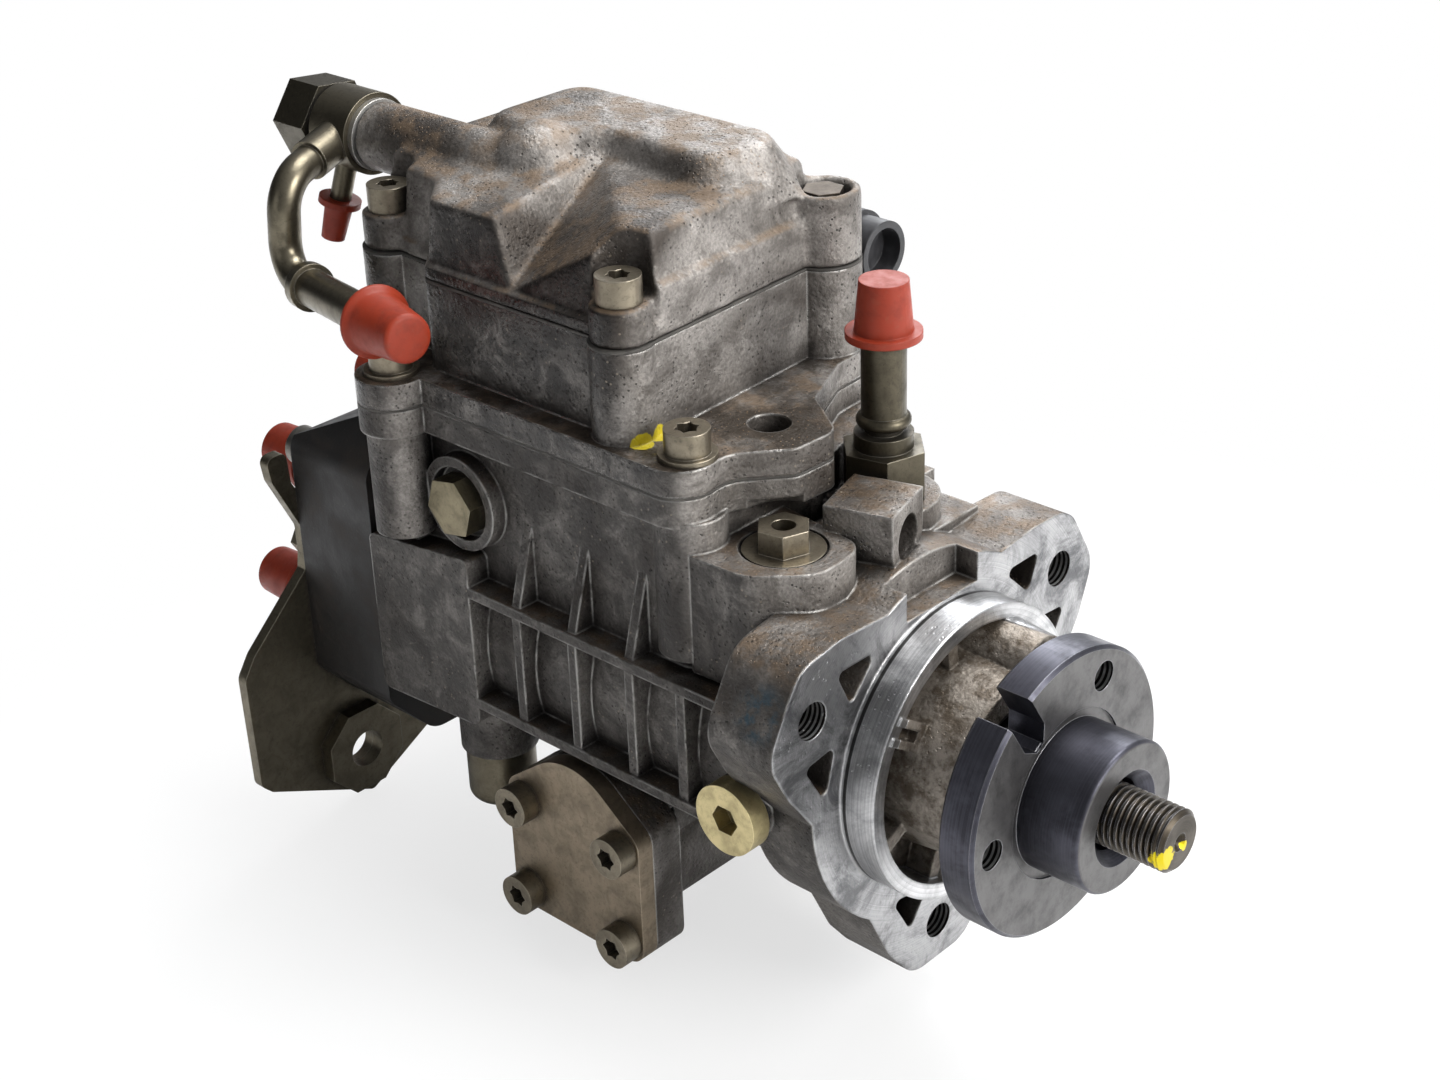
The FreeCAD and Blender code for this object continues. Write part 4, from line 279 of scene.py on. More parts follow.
def cast_skin(name, dust_amount=1.0, oil_and_shade_amount=1.0, brightness=1.0, near_shade_amount=0.45, sludge_amount=0.5,
              rub_amount=0.6, paint=(), stains_at=(), machined=False):
    """Sand-cast aluminium after years in an engine bay: grain, stains, dust, oil and rubbed edges, with painted
    shade on the near walls and in pockets, and darker towards the bottom.
    """
    shades = colours()
    recipe = Recipe(name)
    soft = recipe.rounded(sizes().edge_round)
    edges = recipe.worn_edges(soft)
    hollow = recipe.corners(0.007)
    lift = recipe.axis("Z", recipe.facing)
    stains = recipe.noise(95, 7, 0.68, 0.6)
    grain = recipe.noise(1500, 4, 0.6)

    # Metal under dried oil
    broad = recipe.level(recipe.noise(24, 5, 0.6, 0.4), 0.38, 0.66)
    base = recipe.blend(broad, scaled(shades.bare_cast, brightness), shades.grimy_cast)
    stained = recipe.level(stains, 0.45, 0.62)
    base = recipe.lay(base, stained, 0.62, shades.grimy_cast)
    base = recipe.lay(base, recipe.level(grain, 0.40, 0.62), 0.28, shades.oil_and_shade)

    # Dust, sludge and crumbs on what faces up
    lying = recipe.times(recipe.level(lift, 0.35, 0.95), recipe.patches(130, 6, 0.7, 0.42, 0.60))
    base = recipe.lay(base, lying, 0.75 * dust_amount, shades.dust)
    sludge = recipe.times(recipe.level(lift, 0.45, 0.92), recipe.patches(48, 7, 0.75, 0.34, 0.58))
    base = recipe.lay(base, sludge, 0.8 * sludge_amount, (0.028, 0.020, 0.013))
    crumbs = recipe.times(recipe.level(lift, 0.2, 0.8), recipe.level(recipe.cells(900), 0.20, 0.10))
    crumbs = recipe.times(crumbs, recipe.patches(45, 5, 0.7, 0.46, 0.60))
    base = recipe.lay(base, crumbs, 0.8 * dust_amount, (0.30, 0.20, 0.12))

    # Painted shade on the near walls, oil with painted shade in pockets, and darker towards the bottom
    # Painted shade on walls facing the near side, in patches and weaker in pockets
    near = recipe.times(recipe.level(recipe.axis("Y", recipe.facing), -0.62, -0.97),
                        recipe.level(recipe.axis("Y"), -0.024, -0.034))
    near_shade = recipe.times(near, recipe.level(recipe.noise(120, 8, 0.75, 0.6), 0.34, 0.58, 0.50, 1.0))
    near_shade = recipe.times(near_shade, recipe.level(hollow, 0.15, 0.45, 1.0, 0.3))
    base = recipe.lay(base, near_shade, near_shade_amount, shades.oil_and_shade)
    # Oil in pockets together with painted shade: darker where the occlusion node finds corners
    dirt_and_corner_shade = recipe.level(recipe.plus(hollow, recipe.times(recipe.noise(210, 5, 0.7), 0.55)), 0.52, 0.92)
    base = recipe.lay(base, dirt_and_corner_shade, 0.85 * oil_and_shade_amount, shades.oil_and_shade)
    # Darker towards the bottom
    base = recipe.lay(base, recipe.level(recipe.axis("Z"), 0.025, -0.065), 0.42 * oil_and_shade_amount, shades.oil_and_shade)

    # Pores, light specks and rubbed edges
    pores = recipe.times(recipe.level(recipe.cells(760), 0.26, 0.14),
                         recipe.patches(85, 5, 0.7, 0.44, 0.58))
    base = recipe.lay(base, pores, 0.75, shades.oil_and_shade)
    specks = recipe.times(recipe.level(recipe.cells(520), 0.17, 0.09),
                          recipe.patches(60, 3, 0.55, 0.48, 0.58))
    base = recipe.lay(base, specks, 0.5, (0.26, 0.22, 0.17))
    rub = recipe.times(edges, recipe.patches(120, 4, 0.6, 0.36, 0.58))
    base = recipe.lay(base, rub, rub_amount, (0.50, 0.49, 0.47))

    metal = recipe.plus(recipe.times(rub, 0.6), recipe.times(stained, -0.25))
    metal = recipe.level(metal, -0.3, 0.6, 0.45, 1.0)
    wet = recipe.plus(recipe.noise(120, 6, 0.65), recipe.times(recipe.plus(rub, near_shade), -0.3))
    rough = recipe.level(recipe.plus(wet, recipe.times(lying, 0.3)), 0.15, 0.70, 0.24, 0.62)
    if machined:
        base, metal, rough, bright = machined_zones(recipe, base, metal)
    for point, radius in stains_at:
        spread = recipe.level(recipe.distance(point), radius, radius * 0.3)
        spread = recipe.times(spread, recipe.patches(260, 5, 0.7, 0.42, 0.60))
        base = recipe.lay(base, spread, 0.7, (0.02, 0.06, 0.09))
    for point, radius in paint:
        mark = dab(recipe, point, radius)
        base = recipe.blend(mark, base, shades.paint_mark)
        metal = recipe.times(metal, recipe.math("SUBTRACT", 1.0, mark))

    pits = recipe.level(recipe.cells(620), 0.0, 0.5)
    height = recipe.plus(recipe.times(grain, 0.6), recipe.times(pits, 0.35))
    height = recipe.plus(height, recipe.times(stains, 0.9))
    height = recipe.math("SUBTRACT", height, recipe.times(pores, 0.9))
    height = recipe.plus(height, recipe.times(crumbs, 0.8))
    if machined:
        height = recipe.times(height, recipe.level(bright, 0.0, 1.0, 1.0, 0.2))
    return recipe.shade(base, metal, rough, recipe.bump(height, 0.7, 0.0004, soft))


def machined_zones(recipe, base, metal):
    """The turned ring and the milled face of the flange stay bright, and the nose inside is unmachined casting,
    painted lighter against the shade between ring and hub.
    """
    shades = colours()
    x = recipe.axis("X")
    radius = recipe.off_axis()
    forward = recipe.axis("X", recipe.facing)
    ring = recipe.times(recipe.between(radius, RING_INNER, RING_OUTER, 0.0002),
                        recipe.level(x, -0.0001, 0.0001))
    face = recipe.times(recipe.level(forward, 0.9, 0.97), recipe.level(x, -0.0008, -0.0002))
    face = recipe.times(face, recipe.level(x, 0.0006, 0.0003))

    # Tool marks, smudges and a duller milled face
    lathe = recipe.put("ShaderNodeCombineXYZ", {"X": recipe.times(radius, 60.0), "Y": recipe.times(x, 60.0)})
    streaks = recipe.put("ShaderNodeTexNoise", {"Vector": lathe.outputs[0], "Scale": 60.0, "Detail": 3.0})
    scratched = recipe.blend(recipe.level(streaks.outputs[0], 0.35, 0.65), shades.turned, (0.44, 0.44, 0.445))
    smudge = recipe.level(recipe.noise(70, 7, 0.75, 0.6), 0.40, 0.66)
    smudge = recipe.times(smudge, recipe.level(ring, 0.0, 1.0, 0.92, 0.5))
    stained = recipe.blend(smudge, scratched, (0.07, 0.072, 0.078))
    dull_face = recipe.lay(stained, face, 0.30, (0.10, 0.105, 0.115))
    both = recipe.math("MAXIMUM", ring, recipe.times(face, 0.85))
    base = recipe.blend(both, base, dull_face)

    # Raw nose inside the ring, painted lighter against the shade between ring and hub, and painted shade for the
    # groove at the ring's foot
    inside = recipe.times(recipe.level(radius, RING_INNER + 0.0001, RING_INNER - 0.0003),
                          recipe.level(x, -0.0200, -0.0190))
    raw_cast_lightened = recipe.blend(recipe.patches(240, 6, 0.7, 0.40, 0.62), (0.30, 0.265, 0.225), (0.10, 0.078, 0.056))
    base = recipe.lay(base, inside, 0.8, raw_cast_lightened)
    # Painted shade where the groove at the ring's foot would be
    groove = recipe.between(x, 0.00075, 0.00165, 0.00015)
    groove = recipe.times(groove, recipe.level(radius, 0.0330, 0.0335))
    base = recipe.lay(base, groove, 0.9, shades.oil_and_shade)

    base, metal = tapped(recipe, base, metal, **FLANGE_HOLES)
    metal = recipe.level(recipe.plus(metal, both), 0.0, 1.0)
    rough = recipe.level(both, 0.0, 1.0, 0.5, 0.38)
    return base, metal, rough, both


def tapped(recipe, base, metal, circle, first_turn, radius, bottom):
    """Thread grooves seen in three tapped holes round the drive axis, drawn as painted highlights on the crests
    and painted shade in the roots.
    """
    x = recipe.axis("X")
    flat = recipe.put("ShaderNodeCombineXYZ", {"Y": recipe.axis("Y"), "Z": recipe.axis("Z")}).outputs[0]
    near = 0.0
    for index in range(3):
        turn = math.radians(first_turn + 120 * index)
        centre = (0, circle * math.cos(turn), circle * math.sin(turn))
        reach = recipe.distance(centre, flat)
        near = recipe.math("MAXIMUM", recipe.level(reach, radius + 0.0002, radius + 0.0001), near)
    sideways = recipe.math("ABSOLUTE", recipe.axis("X", recipe.facing))
    wall = recipe.times(recipe.times(near, recipe.level(x, bottom, bottom + 0.0002)),
                        recipe.level(sideways, 0.6, 0.3))
    # Painted highlights on the thread crests and painted shade in the roots
    wave = recipe.math("SINE", recipe.times(x, 2 * math.pi / HOLE_THREAD_PITCH))
    bright = recipe.blend(recipe.level(wave, -0.2, 0.5), colours().oil_and_shade, (0.45, 0.45, 0.45))
    return recipe.blend(wall, base, bright), recipe.math("MAXIMUM", metal, wall)


def plated(name, tint, dirt_and_corner_shade=0.6, polish=0.34, edge=0.0003):
    """Zinc-plated or bare steel with dull stains, dark spots, and painted shade with old grease in its corners.
    """
    recipe = Recipe(name)
    soft = recipe.rounded(edge)
    edges = recipe.worn_edges(soft)
    cloud = recipe.noise(190, 6, 0.65, 0.5)
    base = recipe.lay(tint, recipe.level(cloud, 0.36, 0.70), 0.6, scaled(tint, 0.45))
    base = recipe.lay(base, recipe.patches(900, 5, 0.75, 0.52, 0.64), 0.5 * dirt_and_corner_shade, scaled(tint, 0.30, 0.008))
    # Dirt with painted shade in the corners, where the occlusion node finds them
    hollow = recipe.corners(0.003)
    grime_and_corner_shade = recipe.level(recipe.plus(hollow, recipe.times(recipe.noise(420, 5, 0.7), 0.6)), 0.50, 0.95)
    base = recipe.lay(base, grime_and_corner_shade, dirt_and_corner_shade, colours().oil_and_shade)
    base = recipe.lay(base, edges, 0.5, scaled(tint, 1.35, 0.08))
    rough = recipe.level(recipe.plus(cloud, recipe.times(grime_and_corner_shade, 0.5)), 0.3, 1.1, polish, 0.68)
    metal = recipe.level(grime_and_corner_shade, 0.3, 1.0, 1.0, 0.55)
    normal = recipe.bump(recipe.plus(recipe.noise(1800, 3), cloud), 0.25, 0.00012, soft)
    return recipe.shade(base, metal, rough, normal)


def head_coating():
    """The distributor head's nearly black skin under a thin layer of brown dust."""
    shades = colours()
    recipe = Recipe("head_coating")
    soft = recipe.rounded(sizes().machined_round)
    edges = recipe.worn_edges(soft)
    cloud = recipe.noise(70, 6, 0.65, 0.4)
    base = recipe.lay(shades.head, recipe.level(cloud, 0.46, 0.72), 0.08, shades.dust)
    base = recipe.lay(base, recipe.level(recipe.cells(700), 0.14, 0.07), 0.3, (0.060, 0.052, 0.045))
    base = recipe.lay(base, edges, 0.35, (0.10, 0.10, 0.11))
    rough = recipe.level(cloud, 0.3, 0.7, 0.42, 0.66)
    normal = recipe.bump(recipe.noise(1300, 3), 0.3, 0.00015, soft)
    return recipe.shade(base, 0.1, rough, normal, Specular_IOR_Level=0.35)


def turned_steel(name, tint, polish=0.3, dirt_and_corner_shade=0.35, face=None, paint=()):
    """Steel turned about the drive axis, with faint tool marks round it."""
    recipe = Recipe(name)
    shades = colours()
    soft = recipe.rounded(sizes().machined_round)
    edges = recipe.worn_edges(soft)
    lathe = recipe.put("ShaderNodeCombineXYZ", {"X": recipe.times(recipe.off_axis(), 900.0),
                                                "Y": recipe.times(recipe.axis("X"), 900.0)})
    marks = recipe.put("ShaderNodeTexNoise", {"Vector": lathe.outputs[0], "Scale": 3.0, "Detail": 4.0})
    marks = marks.outputs[0]
    cloud = recipe.noise(140, 6, 0.65, 0.3)
    base = recipe.blend(recipe.level(cloud, 0.38, 0.66), tint, scaled(tint, 0.55))
    base = recipe.lay(base, recipe.level(marks, 0.4, 0.6), 0.22, scaled(tint, 1.6))
    metal = 0.92
    if face:
        forward = recipe.level(recipe.axis("X", recipe.facing), 0.8, 0.97)
        rubbed = recipe.blend(recipe.patches(150, 7, 0.75, 0.40, 0.72), face, scaled(face, 0.45))
        base = recipe.blend(forward, base, rubbed)
        base, metal = tapped(recipe, base, recipe.level(forward, 0.0, 1.0, 0.92, 0.8), **HUB_HOLES)
    # Painted shade with oil in the corners, where the occlusion node finds them
    base = recipe.lay(base, recipe.level(recipe.corners(0.003), 0.25, 0.8), dirt_and_corner_shade, shades.oil_and_shade)
    base = recipe.lay(base, edges, 0.55, (0.36, 0.36, 0.38))
    for point, radius in paint:
        base = recipe.blend(dab(recipe, point, radius, 0.8), base, shades.paint_mark)
    rough = recipe.level(cloud, 0.3, 0.7, polish, polish + 0.16)
    return recipe.shade(base, metal, rough, recipe.bump(marks, 0.18, 0.0001, soft))


def soft_plastic():
    """The red caps: soft, slightly waxy plastic with rub marks and dust."""
    recipe = Recipe("soft_red_plastic")
    soft = recipe.rounded(0.0004)
    rubbed = recipe.noise(260, 5, 0.65)
    base = recipe.lay(colours().caps, recipe.level(rubbed, 0.45, 0.72), 0.5, (0.13, 0.014, 0.006))
    base = recipe.lay(base, recipe.patches(700, 4, 0.55, 0.55, 0.72), 0.22, (0.17, 0.055, 0.03))
    rough = recipe.level(rubbed, 0.3, 0.7, 0.40, 0.58)
    normal = recipe.bump(recipe.noise(900, 3), 0.16, 0.0001, soft)
    return recipe.shade(base, 0.0, rough, normal, Subsurface_Weight=0.05, Subsurface_Scale=0.002,
                        Specular_IOR_Level=0.3)


def moulded(name, tint, rough_low=0.45, rough_high=0.62):
    """Black mouldings, rubber and gasket paper, a little paler where they are handled."""
    recipe = Recipe(name)
    soft = recipe.rounded(0.0004)
    handled = recipe.noise(220, 5)
    base = recipe.blend(recipe.level(handled, 0.42, 0.7), tint, scaled(tint, 1.8, 0.01))
    normal = recipe.bump(recipe.noise(2400, 2), 0.2, 0.00006, soft)
    return recipe.shade(base, 0.0, recipe.level(handled, 0.3, 0.7, rough_low, rough_high), normal)


def wear(material, *names):
    """Gives CAD nodes their finish."""
    for name in names:
        if name not in NODES:
            raise RuntimeError(f"no CAD node named {name}")
        mesh = NODES[name].data
        mesh.materials.clear()
        mesh.materials.append(material)


# Meshes

def mesh_object(name, verts, faces, material, smooth=True):
    mesh = bpy.data.meshes.new(name)
    mesh.from_pydata([tuple(v) for v in verts], [], faces)
    mesh.validate()
    mesh.materials.append(material)
    for polygon in mesh.polygons:
        polygon.use_smooth = smooth
    made = bpy.data.objects.new(name, mesh)
    bpy.context.scene.collection.objects.link(made)
    return made


def frame_along(axis):
    axis = Vector(axis).normalized()
    side = axis.orthogonal().normalized()
    return side, axis.cross(side), axis


def lathed(name, start, axis, profile, material, steps=48):
    """A piece turned about an axis from (height, radius) pairs; a radius of 0 closes it."""
    side, other, along = frame_along(axis)
    start = Vector(start)
    verts, faces, rings = [], [], []
    for height, radius in profile:
        centre = start + along * height
        if radius < 1e-7:
            verts.append(centre)
            rings.append([len(verts) - 1])
            continue
        ring = []
        for step in range(steps):
            turn = 2 * math.pi * step / steps
            verts.append(centre + (side * math.cos(turn) + other * math.sin(turn)) * radius)
            ring.append(len(verts) - 1)
        rings.append(ring)
    for lower, upper in zip(rings, rings[1:]):
        for step in range(steps):
            after = (step + 1) % steps
            if len(lower) == 1:
                faces.append((lower[0], upper[after], upper[step]))
            elif len(upper) == 1:
                faces.append((lower[step], lower[after], upper[0]))
            else:
                faces.append((lower[step], lower[after], upper[after], upper[step]))
    return mesh_object(name, verts, faces, material)


def sharpen(made, degrees=32):
    """Keeps hard edges crisp on a smooth-shaded piece."""
    bpy.context.view_layer.objects.active = made
    for other in bpy.context.selected_objects:
        other.select_set(False)
    made.select_set(True)
    bpy.ops.object.shade_smooth_by_angle(angle=math.radians(degrees))
    made.select_set(False)


def copy_of(node, name, material):
    """A new piece with a CAD node's shape in the pump's own frame."""
    source = NODES[node]
    mesh = source.data.copy()
    mesh.transform(source.matrix_world)
    mesh.materials.clear()
    mesh.materials.append(material)
    made = bpy.data.objects.new(name, mesh)
    bpy.context.scene.collection.objects.link(made)
    return made


def apply_modifiers(made):
    graph = bpy.context.evaluated_depsgraph_get()
    mesh = bpy.data.meshes.new_from_object(made.evaluated_get(graph))
    made.modifiers.clear()
    made.data = mesh


def softened(node, name, material, voxel, passes, keep_clear=None, above=0.0):
    """A casting's skin with the rounded edges and inner corners that sand casting leaves."""
    made = copy_of(node, name, material)
    remesh = made.modifiers.new("skin", "REMESH")
    remesh.mode = "VOXEL"
    remesh.voxel_size = voxel
    remesh.use_smooth_shade = True
    smooth = made.modifiers.new("round", "SMOOTH")
    smooth.factor = 0.5
    smooth.iterations = passes
    apply_modifiers(made)
    if keep_clear:
        screws = copy_of(keep_clear, "clearance", material)
        places = KDTree(len(screws.data.vertices))
        for vertex in screws.data.vertices:
            places.insert(vertex.co, vertex.index)
        places.balance()
        bpy.data.objects.remove(screws)
        group = made.vertex_groups.new(name="upper")
        for vertex in made.data.vertices:
            clear = (places.find(vertex.co)[2] - 0.003) / 0.004
            weight = min(1.0, max(0.0, clear), max(0.0, (vertex.co.z - above) / 0.004))
            group.add([vertex.index], weight, "REPLACE")
        more = made.modifiers.new("swell", "SMOOTH")
        more.factor = 0.5
        more.iterations = passes * 3
        more.vertex_group = "upper"
        apply_modifiers(made)
    made.data.materials.clear()
    made.data.materials.append(material)
    for polygon in made.data.polygons:
        polygon.use_smooth = True
    return made


def cap_profile(size, radius, lip, hollow, taper):
    """Inside, lip and outside of a push-on cap, from its open end to its rounded tip."""
    tip = radius * taper
    round_off = [(size - 0.0012 + 0.0012 * math.sin(turn), tip - 0.0012 * (1 - math.cos(turn)))
                 for turn in (0.0, 0.4, 0.8, 1.2, math.pi / 2)]
    inside = [(size - 0.0016, 0.0), (size - 0.0016, hollow - 0.0004), (0.0012, hollow),
              (0.0002, hollow + 0.0002)]
    rim = [(0.0, hollow + 0.0005), (0.0, lip - 0.0004), (0.0003, lip), (0.0009, lip), (0.0013, lip - 0.0003)]
    outside = [(0.0017, radius + 0.0005), (0.0024, radius)]
    return [*inside, *rim, *outside, *round_off, (size + 0.0001, tip * 0.4), (size + 0.0001, 0.0)]


def thread_rows(start, end, root, crest, pitch, sides):
    """Grid of points on a screw thread about the X axis, smoothed out at both ends."""
    steps = max(8, round((end - start) / pitch * 10))
    rows = []
    for step in range(steps + 1):
        x = start + (end - start) * step / steps
        fade = min(1.0, (end - x) / pitch * 1.5, (x - start) / pitch * 1.5)
        row = []
        for side in range(sides):
            phase = (x / pitch - side / sides) % 1.0
            height = min(1.0, max(0.0, 1.9 * abs(1 - 2 * phase) - 0.45))
            radius = crest - (crest - root) * (1 - height) * max(0.0, fade)
            turn = 2 * math.pi * side / sides
            row.append(Vector((x, radius * math.cos(turn), radius * math.sin(turn))))
        rows.append(row)
    return rows


def ring_row(x, radius, sides):
    """Points evenly round the X axis."""
    turns = [2 * math.pi * side / sides for side in range(sides)]
    return [Vector((x, radius * math.cos(turn), radius * math.sin(turn))) for turn in turns]


# Operators

class PUMP_OT_castings(bpy.types.Operator):
    """Aged cast skin on the pump housing, the actuator housing and the top cover"""
    bl_idname = "pump.castings"
    bl_label = "Castings"

    def execute(self, context):
        wear(cast_skin("housing_cast", near_shade_amount=0.84, sludge_amount=0.6, stains_at=FLANGE_STAINS,
                       machined=True), "pump_housing")
        wear(cast_skin("actuator_housing_cast", dust_amount=0.9, oil_and_shade_amount=0.9, near_shade_amount=0.95,
                       sludge_amount=1.25, paint=DECK_PAINT), "actuator_housing")
        wear(cast_skin("cover_cast", dust_amount=0.9, oil_and_shade_amount=0.38, brightness=1.08,
                       near_shade_amount=1.0, sludge_amount=0.12, rub_amount=0.3), "top_cover")
        wear(moulded("gasket_paper", (0.035, 0.032, 0.028), 0.7, 0.85), "actuator_gasket", "cover_gasket")
        return {"FINISHED"}


class PUMP_OT_cast_lid(bpy.types.Operator):
    """The cast lid with its soft cast edges, in place of the plain CAD lid"""
    bl_idname = "pump.cast_lid"
    bl_label = "Cast lid"

    def execute(self, context):
        material = NODES["top_cover"].data.materials[0]
        lid = softened("top_cover", "cast_lid", material, sizes().lid_detail, 6, "cover_screws", LID_SHOULDER)
        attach(lid, "housing")
        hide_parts("top_cover")
        return {"FINISHED"}


class PUMP_OT_head(bpy.types.Operator):
    """Near-black distributor head, its plug and its outlet holders"""
    bl_idname = "pump.head"
    bl_label = "Distributor head"

    def execute(self, context):
        wear(head_coating(), "distributor_head")
        steel = plated("holder_steel", scaled(colours().steel, 0.7), 0.5)
        wear(steel, "delivery_valve_holders", "central_plug", "head_screws")
        return {"FINISHED"}


class PUMP_OT_drive_end(bpy.types.Operator):
    """Gunmetal hub and the steel shaft with its thread"""
    bl_idname = "pump.drive_end"
    bl_label = "Drive end"

    def execute(self, context):
        hub_face = (0.098, 0.095, 0.095)
        wear(turned_steel("hub_gunmetal", colours().gunmetal, 0.34, 0.3, face=hub_face), "drive_hub")
        steel = turned_steel("shaft_steel", colours().oily_steel, 0.34, 0.9, paint=SHAFT_PAINT)
        wear(steel, "drive_shaft", "shaft_key")
        self.threaded_shaft(steel)
        return {"FINISHED"}

    def threaded_shaft(self, steel):
        """The CAD shaft up to the thread, then the cut thread and the centred tip."""
        made = copy_of("drive_shaft", "threaded_shaft", steel)
        shape = bmesh.new()
        shape.from_mesh(made.data)
        everything = shape.verts[:] + shape.edges[:] + shape.faces[:]
        bmesh.ops.bisect_plane(shape, geom=everything, plane_co=(THREAD_START, 0, 0), plane_no=(1, 0, 0),
                               clear_outer=True)
        sides = sizes().thread_sides
        rows = thread_rows(THREAD_START, THREAD_END, THREAD_CREST - sizes().thread_depth, THREAD_CREST,
                           sizes().thread_pitch, sides)
        for x, radius in ((SHAFT_TIP, 0.0060), (SHAFT_TIP, 0.0021), (SHAFT_TIP - 0.0016, 0.0006)):
            rows.append(ring_row(x, radius, sides))
        grid = [[shape.verts.new(point) for point in row] for row in rows]
        for lower, upper in zip(grid, grid[1:]):
            for side in range(sides):
                after = (side + 1) % sides
                shape.faces.new((lower[side], upper[side], upper[after], lower[after]))
        shape.faces.new(grid[-1])
        shape.normal_update()
        shape.to_mesh(made.data)
        shape.free()
        for polygon in made.data.polygons:
            polygon.use_smooth = True
        sharpen(made, 28)
        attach(made, "drivetrain")
        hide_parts("drive_shaft")


class PUMP_OT_fasteners(bpy.types.Operator):
    """Dull plating on the small screws"""
    bl_idname = "pump.fasteners"
    bl_label = "Fasteners"

    def execute(self, context):
        plating = plated("screw_plating", colours().screws, 0.85, 0.36)
        wear(plating, "cover_screws", "cover_hex_bolt", "actuator_screws", "timing_cover_screws",
             "bracket_screws", "pressure_valve")
        return {"FINISHED"}


class PUMP_OT_ring_bolt(bpy.types.Operator):
    """The old hexagon bolt in the lid's ring, with its full head"""
    bl_idname = "pump.ring_bolt"
    bl_label = "Ring bolt"

    def execute(self, context):
        bolt = copy_of("cover_hex_bolt", "ring_bolt", plated("old_bolt", (0.085, 0.066, 0.048), 0.9, 0.5))
        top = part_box("cover_hex_bolt")[1][2]
        for vertex in bolt.data.vertices:
            if vertex.co.z > top - sizes().bolt_head:
                vertex.co.z += sizes().bolt_lift
        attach(bolt, "housing")
        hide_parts("cover_hex_bolt")
        return {"FINISHED"}


class PUMP_OT_fittings(bpy.types.Operator):
    """Olive-gold zinc plating on pipes, plugs, covers and the bracket"""
    bl_idname = "pump.fittings"
    bl_label = "Plated fittings"

    def execute(self, context):
        zinc = colours().plating
        wear(plated("zinc_gold", zinc, 0.7, 0.30), "return_pipe", "shutoff_solenoid", "timing_solenoid")
        wear(plated("zinc_dull", scaled(zinc, 0.9), 0.8, 0.38), "support_bracket", "bracket_nut")
        wear(plated("zinc_oily", scaled(zinc, 0.55), 0.8, 0.36), "inlet_fitting", "banjo_bolt")
        wear(plated("zinc_hex", (0.20, 0.172, 0.112), 0.7, 0.34), "side_hex_bolt")
        wear(plated("zinc_bright", (0.52, 0.44, 0.24), 0.5, 0.36), "locking_plug")
        wear(plated("cover_steel", (0.27, 0.22, 0.16), 0.75, 0.42), "timing_cover_near", "timing_cover_far")
        wear(plated("washer_metal", (0.5, 0.49, 0.47), 0.4), "banjo_washers")
        return {"FINISHED"}


class PUMP_OT_caps(bpy.types.Operator):
    """Soft red caps on the pipes, the inlet and the outlets"""
    bl_idname = "pump.caps"
    bl_label = "Protective caps"

    def execute(self, context):
        plastic = soft_plastic()
        wear(plastic, "return_pipe_cap", "nipple_cap", "inlet_cap", "delivery_caps")
        size = 0.017
        start, end = PIPE_RUN
        along = (end - start).normalized()
        profile = cap_profile(size, radius=0.0069, lip=0.0084, hollow=0.00452, taper=0.82)
        cap = lathed("pipe_cap_soft", end + along * (0.0145 - size), along, profile, plastic)
        sharpen(cap, 40)
        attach(cap, "housing")
        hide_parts("return_pipe_cap")
        return {"FINISHED"}


class PUMP_OT_inner_works(bpy.types.Operator):
    """Steel, bronze, rubber and springs inside the pump"""
    bl_idname = "pump.inner_works"
    bl_label = "Inner works"

    def execute(self, context):
        wear(plated("ground_steel", colours().steel, 0.3, 0.24), "delivery_valves", "shutoff_armature",
             "pressure_valve_piston", "timing_piston", "timing_pin", "vane_rotor", "vanes", "eccentric_ring",
             "vane_pump_plate", "cross_coupling", "roller_ring", "rollers", "cam_plate", "plunger",
             "spring_bridge", "control_collar", "actuator_shaft")
        wear(plated("spring_wire", (0.30, 0.30, 0.31), 0.3, 0.3), "delivery_valve_springs", "timing_spring",
             "plunger_springs")
        wear(plated("bearing_bronze", (0.56, 0.40, 0.20), 0.3, 0.3), "front_bearing")
        wear(moulded("seal_rubber", (0.02, 0.02, 0.02), 0.6, 0.75), "shaft_seal")
        wear(plated("core_iron", (0.16, 0.155, 0.15), 0.4, 0.4), "actuator_core")
        return {"FINISHED"}


class PUMP_OT_electrics(bpy.types.Operator):
    """Black mouldings of the connector and the position sensor"""
    bl_idname = "pump.electrics"
    bl_label = "Electrical parts"

    def execute(self, context):
        wear(moulded("black_moulding", colours().moulding), "electrical_connector", "position_sensor")
        return {"FINISHED"}


